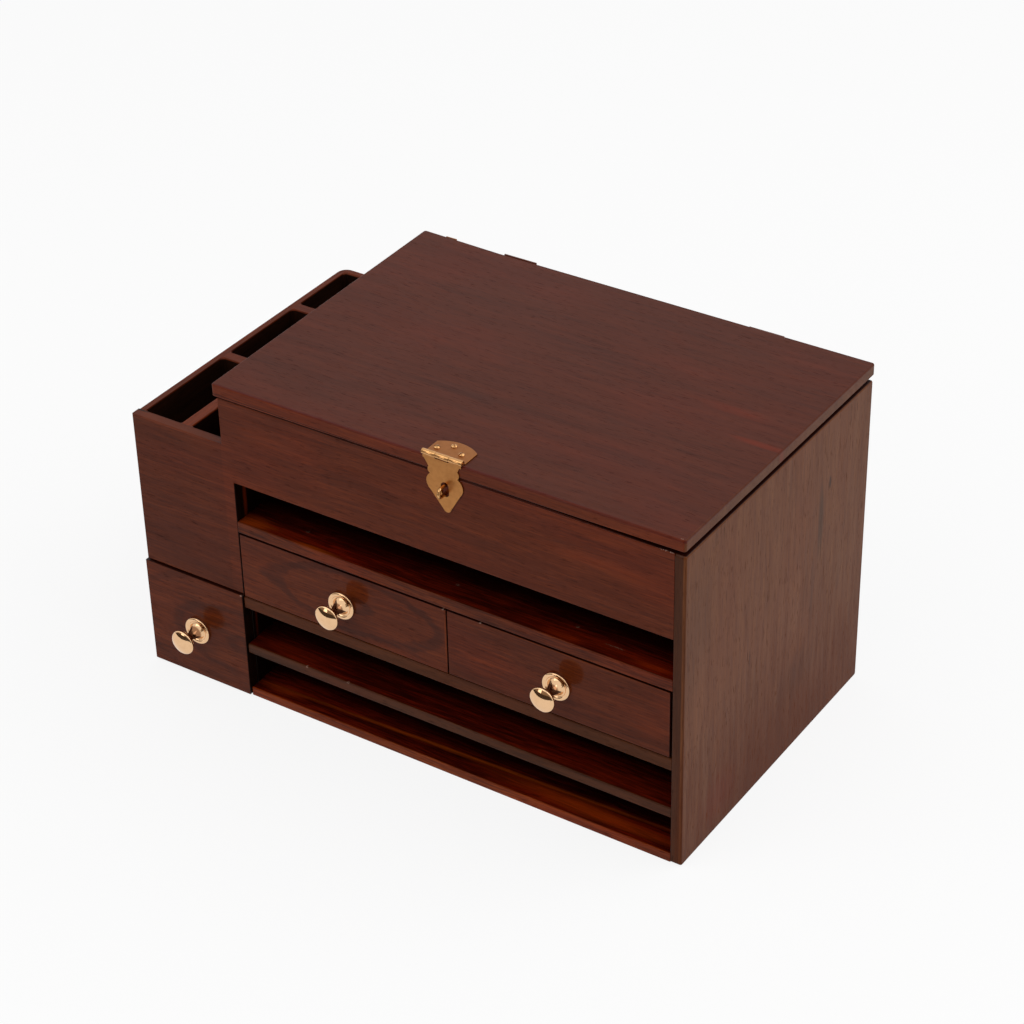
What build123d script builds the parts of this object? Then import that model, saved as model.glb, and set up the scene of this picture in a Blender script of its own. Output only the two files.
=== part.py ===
from build123d import *

import os
from math import cos, radians, sin, sqrt

# Desk organizer with a lift lid: a wooden case with three open shelves, two small drawers and a lidded
# compartment, and a lower annex on its left with four pen cells over a third drawer.
# Millimetres. Origin: centre of the base. +X to the right, +Y to the back, +Z up.

os.makedirs("parts", exist_ok=True)

# ---------------------------------------------------------------- driving dimensions: case
total_width = 406.5
case_depth = 229.0
case_height = 226.4
side_t = 7.6
back_t = 7.6
base_t = 6.6
slot_shelf_t = 7.2
drawer_shelf_t = 8.8
upper_shelf_t = 8.2
compartment_floor_t = 7.6
front_board_t = 7.0
drawer_divider_t = 6.0

# Clear heights between the boards, from the bottom up.
lower_slot_h = 28.1
upper_slot_h = 28.7
drawer_bay_h = 49.6
pigeonhole_h = 29.0

# Stopped housings that carry the shelf ends in the side panels.
housing_depth = 2.0
housing_stop = 12.0

# Softened arrises and corners.
board_arris = 0.8
side_arris = 1.2
side_corner_r = 2.0
side_heel_r = 4.0

# ---------------------------------------------------------------- driving dimensions: annex
annex_width = 72.0
annex_setback = 1.0
annex_corner_r = 7.5
annex_rim_round = 1.6
annex_height = 192.5
annex_wall_t = 5.2
annex_back_t = 6.0
annex_floor_t = 6.6
annex_base_t = 6.6
annex_seam_h = 81.4
cell_divider_t = 8.2
front_cell_depth = 79.0
middle_cell_depth = 68.0

# ---------------------------------------------------------------- driving dimensions: lid
lid_t = 8.0
lid_gap = 2.1
lid_left_overhang = 4.0
lid_back_overhang = 3.0
lid_right_inset = 0.6
lid_corner_r = 2.0
lid_arris = 0.9

# ---------------------------------------------------------------- driving dimensions: lid hinges
hinge_length = 25.0
hinge_spread = 185.0
hinge_leaf_t = 1.0
hinge_leaf_reach = 10.0
hinge_crank_drop = 3.4
hinge_barrel_r = 1.8
hinge_pin_r = 0.9
knuckle_gap = 0.2
running_clearance = 0.05
swing_clearance = 0.3
lid_tab_from_left = 17.0
lid_tab_width = 8.5
lid_tab_rise = 1.3

# ---------------------------------------------------------------- driving dimensions: hasp
hasp_width = 28.6
hasp_off_centre = 1.9
hasp_lean = 4.5
hasp_t = 0.7
hasp_barrel_r = 1.85
hasp_barrel_proud = 0.65
hasp_pin_r = 0.7
hasp_stand_off = 0.1
hasp_lift = 0.15
hasp_plate_side = 15.6
hasp_plate_crown = 20.4
hasp_slot_length = 9.8
hasp_slot_width = 5.4
hasp_slot_drop = 21.5
hasp_relief_gap = 0.15
staple_wire_r = 1.1
staple_half_height = 2.9
staple_reach = 8.6
staple_root = 6.0

# ---------------------------------------------------------------- driving dimensions: drawers
drawer_front_t = 7.6
front_gap = 0.5
side_clearance = 0.8
bed_clearance = 0.3
drawer_top_clearance = 2.0
drawer_back_clearance = 5.0
drawer_side_t = 6.0
drawer_back_t = 6.0
drawer_bottom_t = 3.0
bottom_groove = 2.5
bottom_rise = 3.0
front_lip = 3.2
thin_wall = 1.5
front_arris = 1.0
annex_front_proud = 1.4
annex_front_overhang = 1.2
annex_front_lift = 0.6

# ---------------------------------------------------------------- driving dimensions: knobs
rosette_r = 9.8
rosette_rim = 1.3
rosette_face = 2.2
boss_r = 5.4
boss_top = 4.0
neck_r = 3.0
neck_waist = 8.2
collar_r = 4.6
collar_at = 11.8
head_r = 9.0
head_under = 14.2
head_rim = 17.2
knob_reach = 19.7
knob_screw_r = 1.9
knob_screw_length = 9.0
knob_screw_head_r = 3.8
knob_screw_head_t = 1.8
small_knob_drop = 1.8
annex_knob_drop = 2.3

# ---------------------------------------------------------------- driving dimensions: screws
screw_r = 1.0
screw_length = 5.0
screw_head_r = 1.9
screw_head_t = 0.9
hasp_screw_head_r = 2.1
hasp_screw_head_t = 1.4
hole_clearance = 0.05

# ---------------------------------------------------------------- levels and lines worked out from these
x_left = -total_width / 2
x_right = total_width / 2
y_front = -case_depth / 2
y_back = case_depth / 2

left_panel_outer = x_left + annex_width
left_panel_inner = left_panel_outer + side_t
right_panel_inner = x_right - side_t
back_inner = y_back - back_t
bay_width = right_panel_inner - left_panel_inner
bay_centre = (left_panel_inner + right_panel_inner) / 2

slot_shelf_z = base_t + lower_slot_h
drawer_shelf_z = slot_shelf_z + slot_shelf_t + upper_slot_h
drawer_bed_z = drawer_shelf_z + drawer_shelf_t
upper_shelf_z = drawer_bed_z + drawer_bay_h
apron_z = upper_shelf_z + upper_shelf_t + pigeonhole_h

annex_back = y_back - annex_setback
annex_inner_left = x_left + annex_wall_t
annex_inner_back = annex_back - annex_back_t
annex_carcass_front = y_front + front_board_t
cell_floor_z = annex_seam_h + annex_floor_t

lid_bottom = case_height + lid_gap
lid_top = lid_bottom + lid_t
lid_left = left_panel_outer - lid_left_overhang
lid_right = x_right - lid_right_inset
lid_back = y_back + lid_back_overhang
lid_centre = (lid_left + lid_right) / 2

hinge_axis_y = lid_back + hinge_barrel_r
hinge_axis_z = case_height + lid_gap / 2
hinge_centres = [lid_centre - hinge_spread / 2, lid_centre + hinge_spread / 2]
lid_screw_rise = (hinge_barrel_r + lid_top - hinge_axis_z) / 2 + 0.4
case_screw_drop = hinge_crank_drop + 4.2
hinge_screw_pitch = hinge_length * 0.56

hasp_centre = bay_centre + hasp_off_centre
hasp_axis_y = y_front - hasp_stand_off - hasp_t + hasp_barrel_r - hasp_barrel_proud
hasp_axis_z = lid_top + hasp_lift + hasp_barrel_r
staple_x = hasp_centre + hasp_slot_drop * sin(radians(hasp_lean))
staple_z = hasp_axis_z - hasp_slot_drop * cos(radians(hasp_lean))


def save(builder, name):
    """Labels a finished piece and writes it to its own STEP file."""
    builder.part.label = name
    export_step(builder.part, f"parts/{name}.step")


def span(low, high):
    """Centre and length of a stretch between two coordinates."""
    return (low + high) / 2, high - low


def slab(x_range, y_range, z_range, mode=Mode.ADD):
    """Adds or cuts an upright block between pairs of coordinates, inside the current part."""
    (x_mid, x_size), (y_mid, y_size) = span(*x_range), span(*y_range)
    with BuildSketch(Plane.XY.offset(z_range[0])) as outline:
        with Locations((x_mid, y_mid)):
            Rectangle(x_size, y_size)
    extrude(outline.sketch, amount=z_range[1] - z_range[0], mode=mode)


def corner_web(x, y, toward_x, toward_y, radius, z_range, mode):
    """Adds or cuts the web between a square upright corner at (x, y) and its rounding, in the part."""
    with BuildSketch(Plane.XY.offset(z_range[0])) as web:
        with Locations((x + toward_x * radius / 2, y + toward_y * radius / 2)):
            Rectangle(radius, radius)
        with Locations((x + toward_x * radius, y + toward_y * radius)):
            Circle(radius, mode=Mode.SUBTRACT)
    extrude(web.sketch, amount=z_range[1] - z_range[0], mode=mode)


def bore_y(x, z, y_start, depth, radius):
    """Drills a blind hole towards +Y from the plane y = y_start, inside the current part."""
    with BuildSketch(Plane.XZ.offset(-y_start)) as hole:
        with Locations((x, z)):
            Circle(radius)
    extrude(hole.sketch, amount=-depth, mode=Mode.SUBTRACT)


# ---------------------------------------------------------------- case: side panels
# Each shelf's lower face, thickness and how far its ends stop short of the front.
shelf_levels = [
    (0.0, base_t, housing_stop),
    (slot_shelf_z, slot_shelf_t, housing_stop),
    (drawer_shelf_z, drawer_shelf_t, housing_stop),
    (upper_shelf_z, upper_shelf_t, housing_stop),
    (apron_z, compartment_floor_t, front_board_t),
]


def cut_housings(inner_face, away):
    """Cuts the shelf housings into a side panel; away is +1 or -1, the way into its thickness."""
    for level, thickness, stop in shelf_levels:
        slab(
            sorted((inner_face, inner_face + away * housing_depth)),
            (y_front + stop, back_inner),
            (level, level + thickness),
            Mode.SUBTRACT,
        )


with BuildPart() as right_side_panel:
    with BuildSketch(Plane.YZ.offset(right_panel_inner)) as right_outline:
        with Locations((0, case_height / 2)):
            Rectangle(case_depth, case_height)
        fillet(right_outline.vertices(), side_corner_r)
    extrude(amount=side_t)
    fillet(right_side_panel.faces().sort_by(Axis.X)[-1].edges(), side_arris)
    cut_housings(right_panel_inner, 1)
save(right_side_panel, "right_side_panel")

# The left panel stops behind the front board and the annex drawer's lay-on front, which cover its edge.
with BuildPart() as left_side_panel:
    slab((left_panel_outer, left_panel_inner), (annex_carcass_front, y_back), (0, case_height))
    upper_edges = left_side_panel.edges().filter_by(Axis.Y).group_by(Axis.Z)[-1]
    fillet(upper_edges.sort_by(Axis.X)[0], board_arris)
    cut_housings(left_panel_inner, -1)
save(left_side_panel, "left_side_panel")


# ---------------------------------------------------------------- case: shelves
def build_shelf(name, level, thickness, front, stop):
    """Makes one shelf with end tongues that seat in the side panels' stopped housings."""
    with BuildPart() as shelf:
        slab((left_panel_inner, right_panel_inner), (front, back_inner), (level, level + thickness))
        slab(
            (left_panel_inner - housing_depth, right_panel_inner + housing_depth),
            (y_front + stop, back_inner),
            (level, level + thickness),
        )
        if front == y_front:
            fillet(shelf.edges().filter_by(Axis.X).group_by(Axis.Y)[0], board_arris)
    save(shelf, name)


shelf_names = ["base_board", "slot_shelf", "drawer_shelf", "upper_shelf"]
for shelf_name, (level, thickness, stop) in zip(shelf_names, shelf_levels):
    build_shelf(shelf_name, level, thickness, y_front, stop)
build_shelf("compartment_floor", apron_z, compartment_floor_t, annex_carcass_front, front_board_t)

with BuildPart() as back_panel:
    slab((left_panel_inner, right_panel_inner), (back_inner, y_back), (0, case_height))
    # Pilot holes for the screws of the two hinges.
    for centre in hinge_centres:
        for offset in (-hinge_screw_pitch / 2, hinge_screw_pitch / 2):
            with BuildSketch(Plane.XZ.offset(-y_back)):
                with Locations((centre + offset, hinge_axis_z - case_screw_drop)):
                    Circle(screw_r + hole_clearance)
            extrude(amount=screw_length, mode=Mode.SUBTRACT)
save(back_panel, "back_panel")

# One board closes the annex above its drawer, covers the left panel's edge and carries on to the right
# as the compartment's apron.
with BuildPart() as front_board:
    with BuildSketch(Plane.XZ.offset(-y_front)):
        with BuildLine():
            Polyline(
                (x_left, annex_seam_h),
                (left_panel_inner, annex_seam_h),
                (left_panel_inner, apron_z),
                (right_panel_inner, apron_z),
                (right_panel_inner, case_height),
                (left_panel_outer, case_height),
                (left_panel_outer, annex_height),
                (x_left, annex_height),
                close=True,
            )
        make_face()
    extrude(amount=-front_board_t)
    front_edges = front_board.edges().group_by(Axis.Y)[0]
    fillet(front_edges.filter_by(Axis.X) + front_edges.filter_by(Axis.Z).sort_by(Axis.X)[:-1], board_arris)
    # Holes for the two legs of the staple.
    for side in (-1, 1):
        bore_y(
            staple_x,
            staple_z + side * staple_half_height,
            y_front,
            staple_root,
            staple_wire_r + hole_clearance,
        )
save(front_board, "front_board")

with BuildPart() as drawer_divider:
    slab(
        (bay_centre - drawer_divider_t / 2, bay_centre + drawer_divider_t / 2),
        (y_front + drawer_front_t + front_gap, back_inner),
        (drawer_bed_z, upper_shelf_z),
    )
save(drawer_divider, "drawer_divider")

# ---------------------------------------------------------------- annex carcass
with BuildPart() as annex_side_panel:
    slab((x_left, annex_inner_left), (annex_carcass_front, annex_back), (0, annex_height))
    corner_web(x_left, annex_back, 1, -1, annex_corner_r, (0, annex_height), Mode.SUBTRACT)
    rim_edges = annex_side_panel.faces().sort_by(Axis.Z)[-1].edges().sort_by(Axis.X)
    fillet(rim_edges.filter_by(Axis.Y)[:1] + rim_edges.filter_by(GeomType.CIRCLE), annex_rim_round)
save(annex_side_panel, "annex_side_panel")

with BuildPart() as annex_back_panel:
    slab((annex_inner_left, left_panel_outer), (annex_inner_back, annex_back), (0, annex_height))
    corner_web(x_left, annex_back, 1, -1, annex_corner_r, (0, annex_height), Mode.SUBTRACT)
    rim_edges = annex_back_panel.faces().sort_by(Axis.Z)[-1].edges().sort_by(Axis.Y)
    fillet(rim_edges.filter_by(Axis.X)[-1:] + rim_edges.filter_by(GeomType.CIRCLE), annex_rim_round)
save(annex_back_panel, "annex_back_panel")

with BuildPart() as annex_base:
    slab(
        (annex_inner_left, left_panel_outer),
        (annex_carcass_front, annex_inner_back),
        (0, annex_base_t),
    )
save(annex_base, "annex_base")

with BuildPart() as annex_floor:
    slab(
        (annex_inner_left, left_panel_outer),
        (annex_carcass_front, annex_inner_back),
        (annex_seam_h, cell_floor_z),
    )
save(annex_floor, "annex_floor")

# ---------------------------------------------------------------- annex: pen cell dividers
front_divider_y = annex_carcass_front + front_cell_depth
rear_divider_y = front_divider_y + cell_divider_t + middle_cell_depth
cell_centre = (annex_inner_left + left_panel_outer) / 2

for divider_name, divider_y in (
    ("front_cell_divider", front_divider_y),
    ("rear_cell_divider", rear_divider_y),
):
    with BuildPart() as cross_divider:
        slab(
            (annex_inner_left, left_panel_outer),
            (divider_y, divider_y + cell_divider_t),
            (cell_floor_z, annex_height),
        )
        fillet(cross_divider.edges().filter_by(Axis.X).group_by(Axis.Z)[-1], board_arris)
    save(cross_divider, divider_name)

with BuildPart() as long_cell_divider:
    slab(
        (cell_centre - cell_divider_t / 2, cell_centre + cell_divider_t / 2),
        (annex_carcass_front, front_divider_y),
        (cell_floor_z, annex_height),
    )
    fillet(long_cell_divider.edges().filter_by(Axis.Y).group_by(Axis.Z)[-1], board_arris)
save(long_cell_divider, "long_cell_divider")

# ---------------------------------------------------------------- lid board
hasp_screw_spots = [
    (hasp_centre - 10.2, y_front + 9.4),
    (hasp_centre - 2.0, y_front + 15.4),
    (hasp_centre + 7.0, y_front + 9.8),
]

with BuildPart() as lid_board:
    slab((lid_left, lid_right), (y_front, lid_back), (lid_bottom, lid_top))
    fillet(lid_board.edges().filter_by(Axis.Z), lid_corner_r)
    fillet(
        lid_board.faces().sort_by(Axis.Z)[-1].edges() + lid_board.faces().sort_by(Axis.Z)[0].edges(),
        lid_arris,
    )
    for centre in hinge_centres:
        for offset in (-hinge_screw_pitch / 2, hinge_screw_pitch / 2):
            with BuildSketch(Plane.XZ.offset(-lid_back)):
                with Locations((centre + offset, hinge_axis_z + lid_screw_rise)):
                    Circle(screw_r + hole_clearance)
            extrude(amount=screw_length, mode=Mode.SUBTRACT)
    with BuildSketch(Plane.XY.offset(lid_top)):
        with Locations(*hasp_screw_spots):
            Circle(screw_r + hole_clearance)
    extrude(amount=-screw_length, mode=Mode.SUBTRACT)
save(lid_board, "lid_board")


# ---------------------------------------------------------------- lid hinges
def knuckles(axis_y, axis_z, stretches, barrel_r, pin_r):
    """Adds tubular knuckles on an X axis over the given x stretches, inside the current part."""
    for low, high in stretches:
        with BuildSketch(Plane.YZ.offset(low)) as barrel:
            with Locations((axis_y, axis_z)):
                Circle(barrel_r)
        extrude(barrel.sketch, amount=high - low)
    for low, high in stretches:
        with BuildSketch(Plane.YZ.offset(low)) as eye:
            with Locations((axis_y, axis_z)):
                Circle(pin_r + running_clearance)
        extrude(eye.sketch, amount=high - low, mode=Mode.SUBTRACT)


def knuckle_stretches(centre, length, outer):
    """x stretches of the two outer knuckles, or of the middle one, of a three-knuckle barrel."""
    third = length / 3
    if outer:
        return [
            (centre - length / 2, centre - third / 2 - knuckle_gap / 2),
            (centre + third / 2 + knuckle_gap / 2, centre + length / 2),
        ]
    return [(centre - third / 2 + knuckle_gap / 2, centre + third / 2 - knuckle_gap / 2)]


def build_lid_leaf(name, centre):
    """The flat upper leaf, on the lid's back edge; it carries the middle knuckle."""
    root = hinge_axis_z + hinge_barrel_r + swing_clearance
    plate_y = (lid_back, lid_back + hinge_leaf_t)
    middle = knuckle_stretches(centre, hinge_length, False)
    with BuildPart() as leaf:
        slab(
            (centre - hinge_length / 2, centre + hinge_length / 2),
            plate_y,
            (root, hinge_axis_z + hinge_leaf_reach),
        )
        for stretch in middle:
            slab(stretch, plate_y, (hinge_axis_z, root))
        knuckles(hinge_axis_y, hinge_axis_z, middle, hinge_barrel_r, hinge_pin_r)
        for offset in (-hinge_screw_pitch / 2, hinge_screw_pitch / 2):
            bore_y(
                centre + offset,
                hinge_axis_z + lid_screw_rise,
                lid_back,
                hinge_leaf_t,
                screw_r + hole_clearance,
            )
    save(leaf, name)


def build_case_leaf(name, centre):
    """The cranked lower leaf: flat on the back panel, then out under the lid's overhang to the barrel."""
    low, high = centre - hinge_length / 2, centre + hinge_length / 2
    crank = hinge_axis_z - hinge_crank_drop
    outer = knuckle_stretches(centre, hinge_length, True)
    with BuildPart() as leaf:
        slab((low, high), (y_back, y_back + hinge_leaf_t), (crank - hinge_leaf_reach + 1.4, crank))
        slab((low, high), (y_back, lid_back + hinge_leaf_t), (crank - hinge_leaf_t, crank))
        for stretch in outer:
            slab(stretch, (lid_back, lid_back + hinge_leaf_t), (crank - hinge_leaf_t, hinge_axis_z))
        knuckles(hinge_axis_y, hinge_axis_z, outer, hinge_barrel_r, hinge_pin_r)
        for offset in (-hinge_screw_pitch / 2, hinge_screw_pitch / 2):
            bore_y(
                centre + offset,
                hinge_axis_z - case_screw_drop,
                y_back,
                hinge_leaf_t,
                screw_r + hole_clearance,
            )
    save(leaf, name)


def build_hinge_pin(name, centre):
    """A plain pin through the three knuckles, with a low head at each end."""
    with BuildPart() as pin:
        with BuildSketch(Plane.YZ.offset(centre - hinge_length / 2)):
            with Locations((hinge_axis_y, hinge_axis_z)):
                Circle(hinge_pin_r)
        extrude(amount=hinge_length)
        for end, thickness in ((-1, -0.5), (1, 0.5)):
            with BuildSketch(Plane.YZ.offset(centre + end * (hinge_length / 2 + running_clearance))):
                with Locations((hinge_axis_y, hinge_axis_z)):
                    Circle(hinge_barrel_r * 0.75)
            extrude(amount=thickness)
        with BuildSketch(Plane.YZ.offset(centre - hinge_length / 2 - running_clearance)):
            with Locations((hinge_axis_y, hinge_axis_z)):
                Circle(hinge_pin_r)
        extrude(amount=hinge_length + 2 * running_clearance)
    save(pin, name)


for hand, centre in zip(("left", "right"), hinge_centres):
    build_lid_leaf(f"{hand}_hinge_lid_leaf", centre)
    build_case_leaf(f"{hand}_hinge_case_leaf", centre)
    build_hinge_pin(f"{hand}_hinge_pin", centre)


def build_hinge_screws(name, seat, level):
    """The four round-head screws that hold one body's two leaves, as one group of solids."""
    face = seat + hinge_leaf_t
    with BuildPart() as screws:
        for centre in hinge_centres:
            for offset in (-hinge_screw_pitch / 2, hinge_screw_pitch / 2):
                with BuildSketch(Plane.XZ.offset(-face)):
                    with Locations((centre + offset, level)):
                        Circle(screw_head_r)
                extrude(amount=-screw_head_t, taper=25)
                with BuildSketch(Plane.XZ.offset(-face)):
                    with Locations((centre + offset, level)):
                        Circle(screw_r)
                extrude(amount=screw_length + hinge_leaf_t - 0.5)
    save(screws, name)


build_hinge_screws("lid_hinge_screws", lid_back, hinge_axis_z + lid_screw_rise)
build_hinge_screws("case_hinge_screws", y_back, hinge_axis_z - case_screw_drop)

# A small brass tab on the lid's back edge, near its left end.
with BuildPart() as lid_back_tab:
    slab(
        (lid_left + lid_tab_from_left, lid_left + lid_tab_from_left + lid_tab_width),
        (lid_back, lid_back + hinge_leaf_t),
        (lid_top - lid_t * 0.75, lid_top + lid_tab_rise),
    )
save(lid_back_tab, "lid_back_tab")

# ---------------------------------------------------------------- hasp: plate on the lid
hasp_low = hasp_centre - hasp_width / 2
hasp_high = hasp_centre + hasp_width / 2
plate_front = hasp_axis_y + hasp_barrel_r + swing_clearance

with BuildPart() as hasp_plate:
    with BuildSketch(Plane.XY.offset(lid_top)):
        with BuildLine():
            Line((hasp_low, plate_front), (hasp_high, plate_front))
            Line((hasp_high, plate_front), (hasp_high, y_front + hasp_plate_side))
            ThreePointArc(
                (hasp_high, y_front + hasp_plate_side),
                (hasp_centre, y_front + hasp_plate_crown),
                (hasp_low, y_front + hasp_plate_side),
            )
            Line((hasp_low, y_front + hasp_plate_side), (hasp_low, plate_front))
        make_face()
    extrude(amount=hasp_t)
    # The middle knuckle and the curl that joins it to the plate.
    for stretch in knuckle_stretches(hasp_centre, hasp_width, False):
        slab(stretch, (hasp_axis_y, plate_front), (lid_top, lid_top + hasp_t))
        slab(
            stretch,
            (hasp_axis_y, hasp_axis_y + hasp_barrel_r),
            (lid_top + hasp_t, hasp_axis_z),
        )
    knuckles(
        hasp_axis_y,
        hasp_axis_z,
        knuckle_stretches(hasp_centre, hasp_width, False),
        hasp_barrel_r,
        hasp_pin_r,
    )
    with BuildSketch(Plane.XY.offset(lid_top)):
        with Locations(*hasp_screw_spots):
            Circle(screw_r + hole_clearance)
    extrude(amount=hasp_t, mode=Mode.SUBTRACT)
save(hasp_plate, "hasp_plate")

with BuildPart() as hasp_screws:
    with BuildSketch(Plane.XY.offset(lid_top + hasp_t)):
        with Locations(*hasp_screw_spots):
            Circle(hasp_screw_head_r)
    extrude(amount=hasp_screw_head_t, taper=25)
    with BuildSketch(Plane.XY.offset(lid_top + hasp_t)):
        with Locations(*hasp_screw_spots):
            Circle(screw_r)
    extrude(amount=-(screw_length + hasp_t - 0.5))
save(hasp_screws, "hasp_screws")

with BuildPart() as hasp_pin:
    with BuildSketch(Plane.YZ.offset(hasp_low - 0.3)):
        with Locations((hasp_axis_y, hasp_axis_z)):
            Circle(hasp_pin_r)
    extrude(amount=hasp_width + 0.6)
save(hasp_pin, "hasp_pin")

# ---------------------------------------------------------------- hasp: hanging leaf
# Half of the ogee outline: (half width, drop below the pin's axis), from the barrel to the point.
leaf_root = (13.6, 1.3)
leaf_neck = (10.3, 7.6)
leaf_lobe = (11.2, 10.0)
leaf_notch = (9.7, 12.5)
leaf_bulge = (13.0, 17.5)
leaf_shoulder = (10.9, 23.5)
leaf_taper = (2.5, 35.6)
leaf_point = (0.0, 37.3)


def leaf_spot(point, side=1):
    """Turns (half width, drop) into XZ sketch coordinates, leaning as the leaf hangs."""
    across, drop = side * point[0], point[1]
    lean = radians(hasp_lean)
    return (
        hasp_centre + across * cos(lean) + drop * sin(lean),
        hasp_axis_z + across * sin(lean) - drop * cos(lean),
    )


leaf_back_y = y_front - hasp_stand_off
with BuildPart() as hasp_leaf:
    with BuildSketch(Plane.XZ.offset(-leaf_back_y)):
        with BuildLine():
            for side in (-1, 1):
                Line(leaf_spot((0, leaf_root[1]), side), leaf_spot(leaf_root, side))
                Line(leaf_spot(leaf_root, side), leaf_spot(leaf_neck, side))
                ThreePointArc(
                    leaf_spot(leaf_neck, side), leaf_spot(leaf_lobe, side), leaf_spot(leaf_notch, side)
                )
                ThreePointArc(
                    leaf_spot(leaf_notch, side), leaf_spot(leaf_bulge, side), leaf_spot(leaf_shoulder, side)
                )
                Line(leaf_spot(leaf_shoulder, side), leaf_spot(leaf_taper, side))
            ThreePointArc(leaf_spot(leaf_taper), leaf_spot(leaf_point), leaf_spot(leaf_taper, -1))
        make_face()
        with Locations((staple_x, staple_z)):
            SlotOverall(hasp_slot_length, hasp_slot_width, rotation=90 + hasp_lean, mode=Mode.SUBTRACT)
    extrude(amount=hasp_t)
    # Relief that follows the middle knuckle, then straps up to the two outer ones.
    leaf_relief = sqrt((hasp_barrel_r + hasp_relief_gap) ** 2 - (hasp_axis_y - leaf_back_y) ** 2)
    for low, high in knuckle_stretches(hasp_centre, hasp_width, False):
        slab(
            (low - knuckle_gap, high + knuckle_gap),
            (leaf_back_y - hasp_t, leaf_back_y),
            (hasp_axis_z - leaf_relief, hasp_axis_z + hasp_barrel_r),
            Mode.SUBTRACT,
        )
    for low, high in knuckle_stretches(hasp_centre, hasp_width, True):
        slab(
            (max(low, hasp_centre - leaf_root[0]), min(high, hasp_centre + leaf_root[0])),
            (leaf_back_y - hasp_t, leaf_back_y),
            (hasp_axis_z - leaf_relief - 1.4, hasp_axis_z),
        )
    knuckles(
        hasp_axis_y,
        hasp_axis_z,
        knuckle_stretches(hasp_centre, hasp_width, True),
        hasp_barrel_r,
        hasp_pin_r,
    )
save(hasp_leaf, "hasp_leaf")

# ---------------------------------------------------------------- hasp: staple on the apron
staple_nose = y_front - staple_reach + staple_wire_r + staple_half_height
with BuildPart() as staple:
    with BuildLine() as staple_path:
        Line(
            (staple_x, y_front + staple_root, staple_z + staple_half_height),
            (staple_x, staple_nose, staple_z + staple_half_height),
        )
        ThreePointArc(
            (staple_x, staple_nose, staple_z + staple_half_height),
            (staple_x, staple_nose - staple_half_height, staple_z),
            (staple_x, staple_nose, staple_z - staple_half_height),
        )
        Line(
            (staple_x, staple_nose, staple_z - staple_half_height),
            (staple_x, y_front + staple_root, staple_z - staple_half_height),
        )
    with BuildSketch(Plane.XZ.offset(-(y_front + staple_root))):
        with Locations((staple_x, staple_z + staple_half_height)):
            Circle(staple_wire_r)
    sweep(path=staple_path.wire())
save(staple, "staple")


# ---------------------------------------------------------------- knobs
def build_knob(name, x, z, face_y):
    """A turned knob: rosette, boss, waisted neck, collar and a flat-faced mushroom head."""
    profile = Plane(origin=(x, face_y, z), x_dir=(1, 0, 0), z_dir=(0, 0, -1))
    with BuildPart() as knob:
        with BuildSketch(profile):
            with BuildLine():
                Polyline((0, 0), (rosette_r, 0), (rosette_r, rosette_rim))
                ThreePointArc(
                    (rosette_r, rosette_rim),
                    (rosette_r - 0.35, rosette_face - 0.3),
                    (rosette_r - 1.2, rosette_face),
                )
                Polyline(
                    (rosette_r - 1.2, rosette_face),
                    (boss_r + 1.4, rosette_face),
                    (boss_r + 0.6, rosette_face - 0.6),
                    (boss_r, rosette_face),
                )
                ThreePointArc(
                    (boss_r, rosette_face),
                    (boss_r - 0.6, (rosette_face + boss_top) / 2 + 0.4),
                    (neck_r + 0.9, boss_top),
                )
                ThreePointArc(
                    (neck_r + 0.9, boss_top),
                    (neck_r, neck_waist),
                    (collar_r - 0.8, collar_at - 0.6),
                )
                ThreePointArc(
                    (collar_r - 0.8, collar_at - 0.6),
                    (collar_r, collar_at),
                    (collar_r - 0.8, collar_at + 0.6),
                )
                ThreePointArc(
                    (collar_r - 0.8, collar_at + 0.6),
                    (collar_r + 1.6, head_under - 0.7),
                    (head_r - 0.6, head_under + 0.6),
                )
                ThreePointArc(
                    (head_r - 0.6, head_under + 0.6),
                    (head_r, (head_under + 0.6 + head_rim) / 2),
                    (head_r - 0.5, head_rim + 0.7),
                )
                Polyline(
                    (head_r - 0.5, head_rim + 0.7),
                    (head_r - 1.4, knob_reach - 0.4),
                    (0, knob_reach),
                    (0, 0),
                )
            make_face()
        revolve(axis=Axis((x, face_y, z), (0, -1, 0)))
        bore_y(x, z, face_y - knob_screw_length, knob_screw_length, knob_screw_r + hole_clearance)
    save(knob, name)


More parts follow.
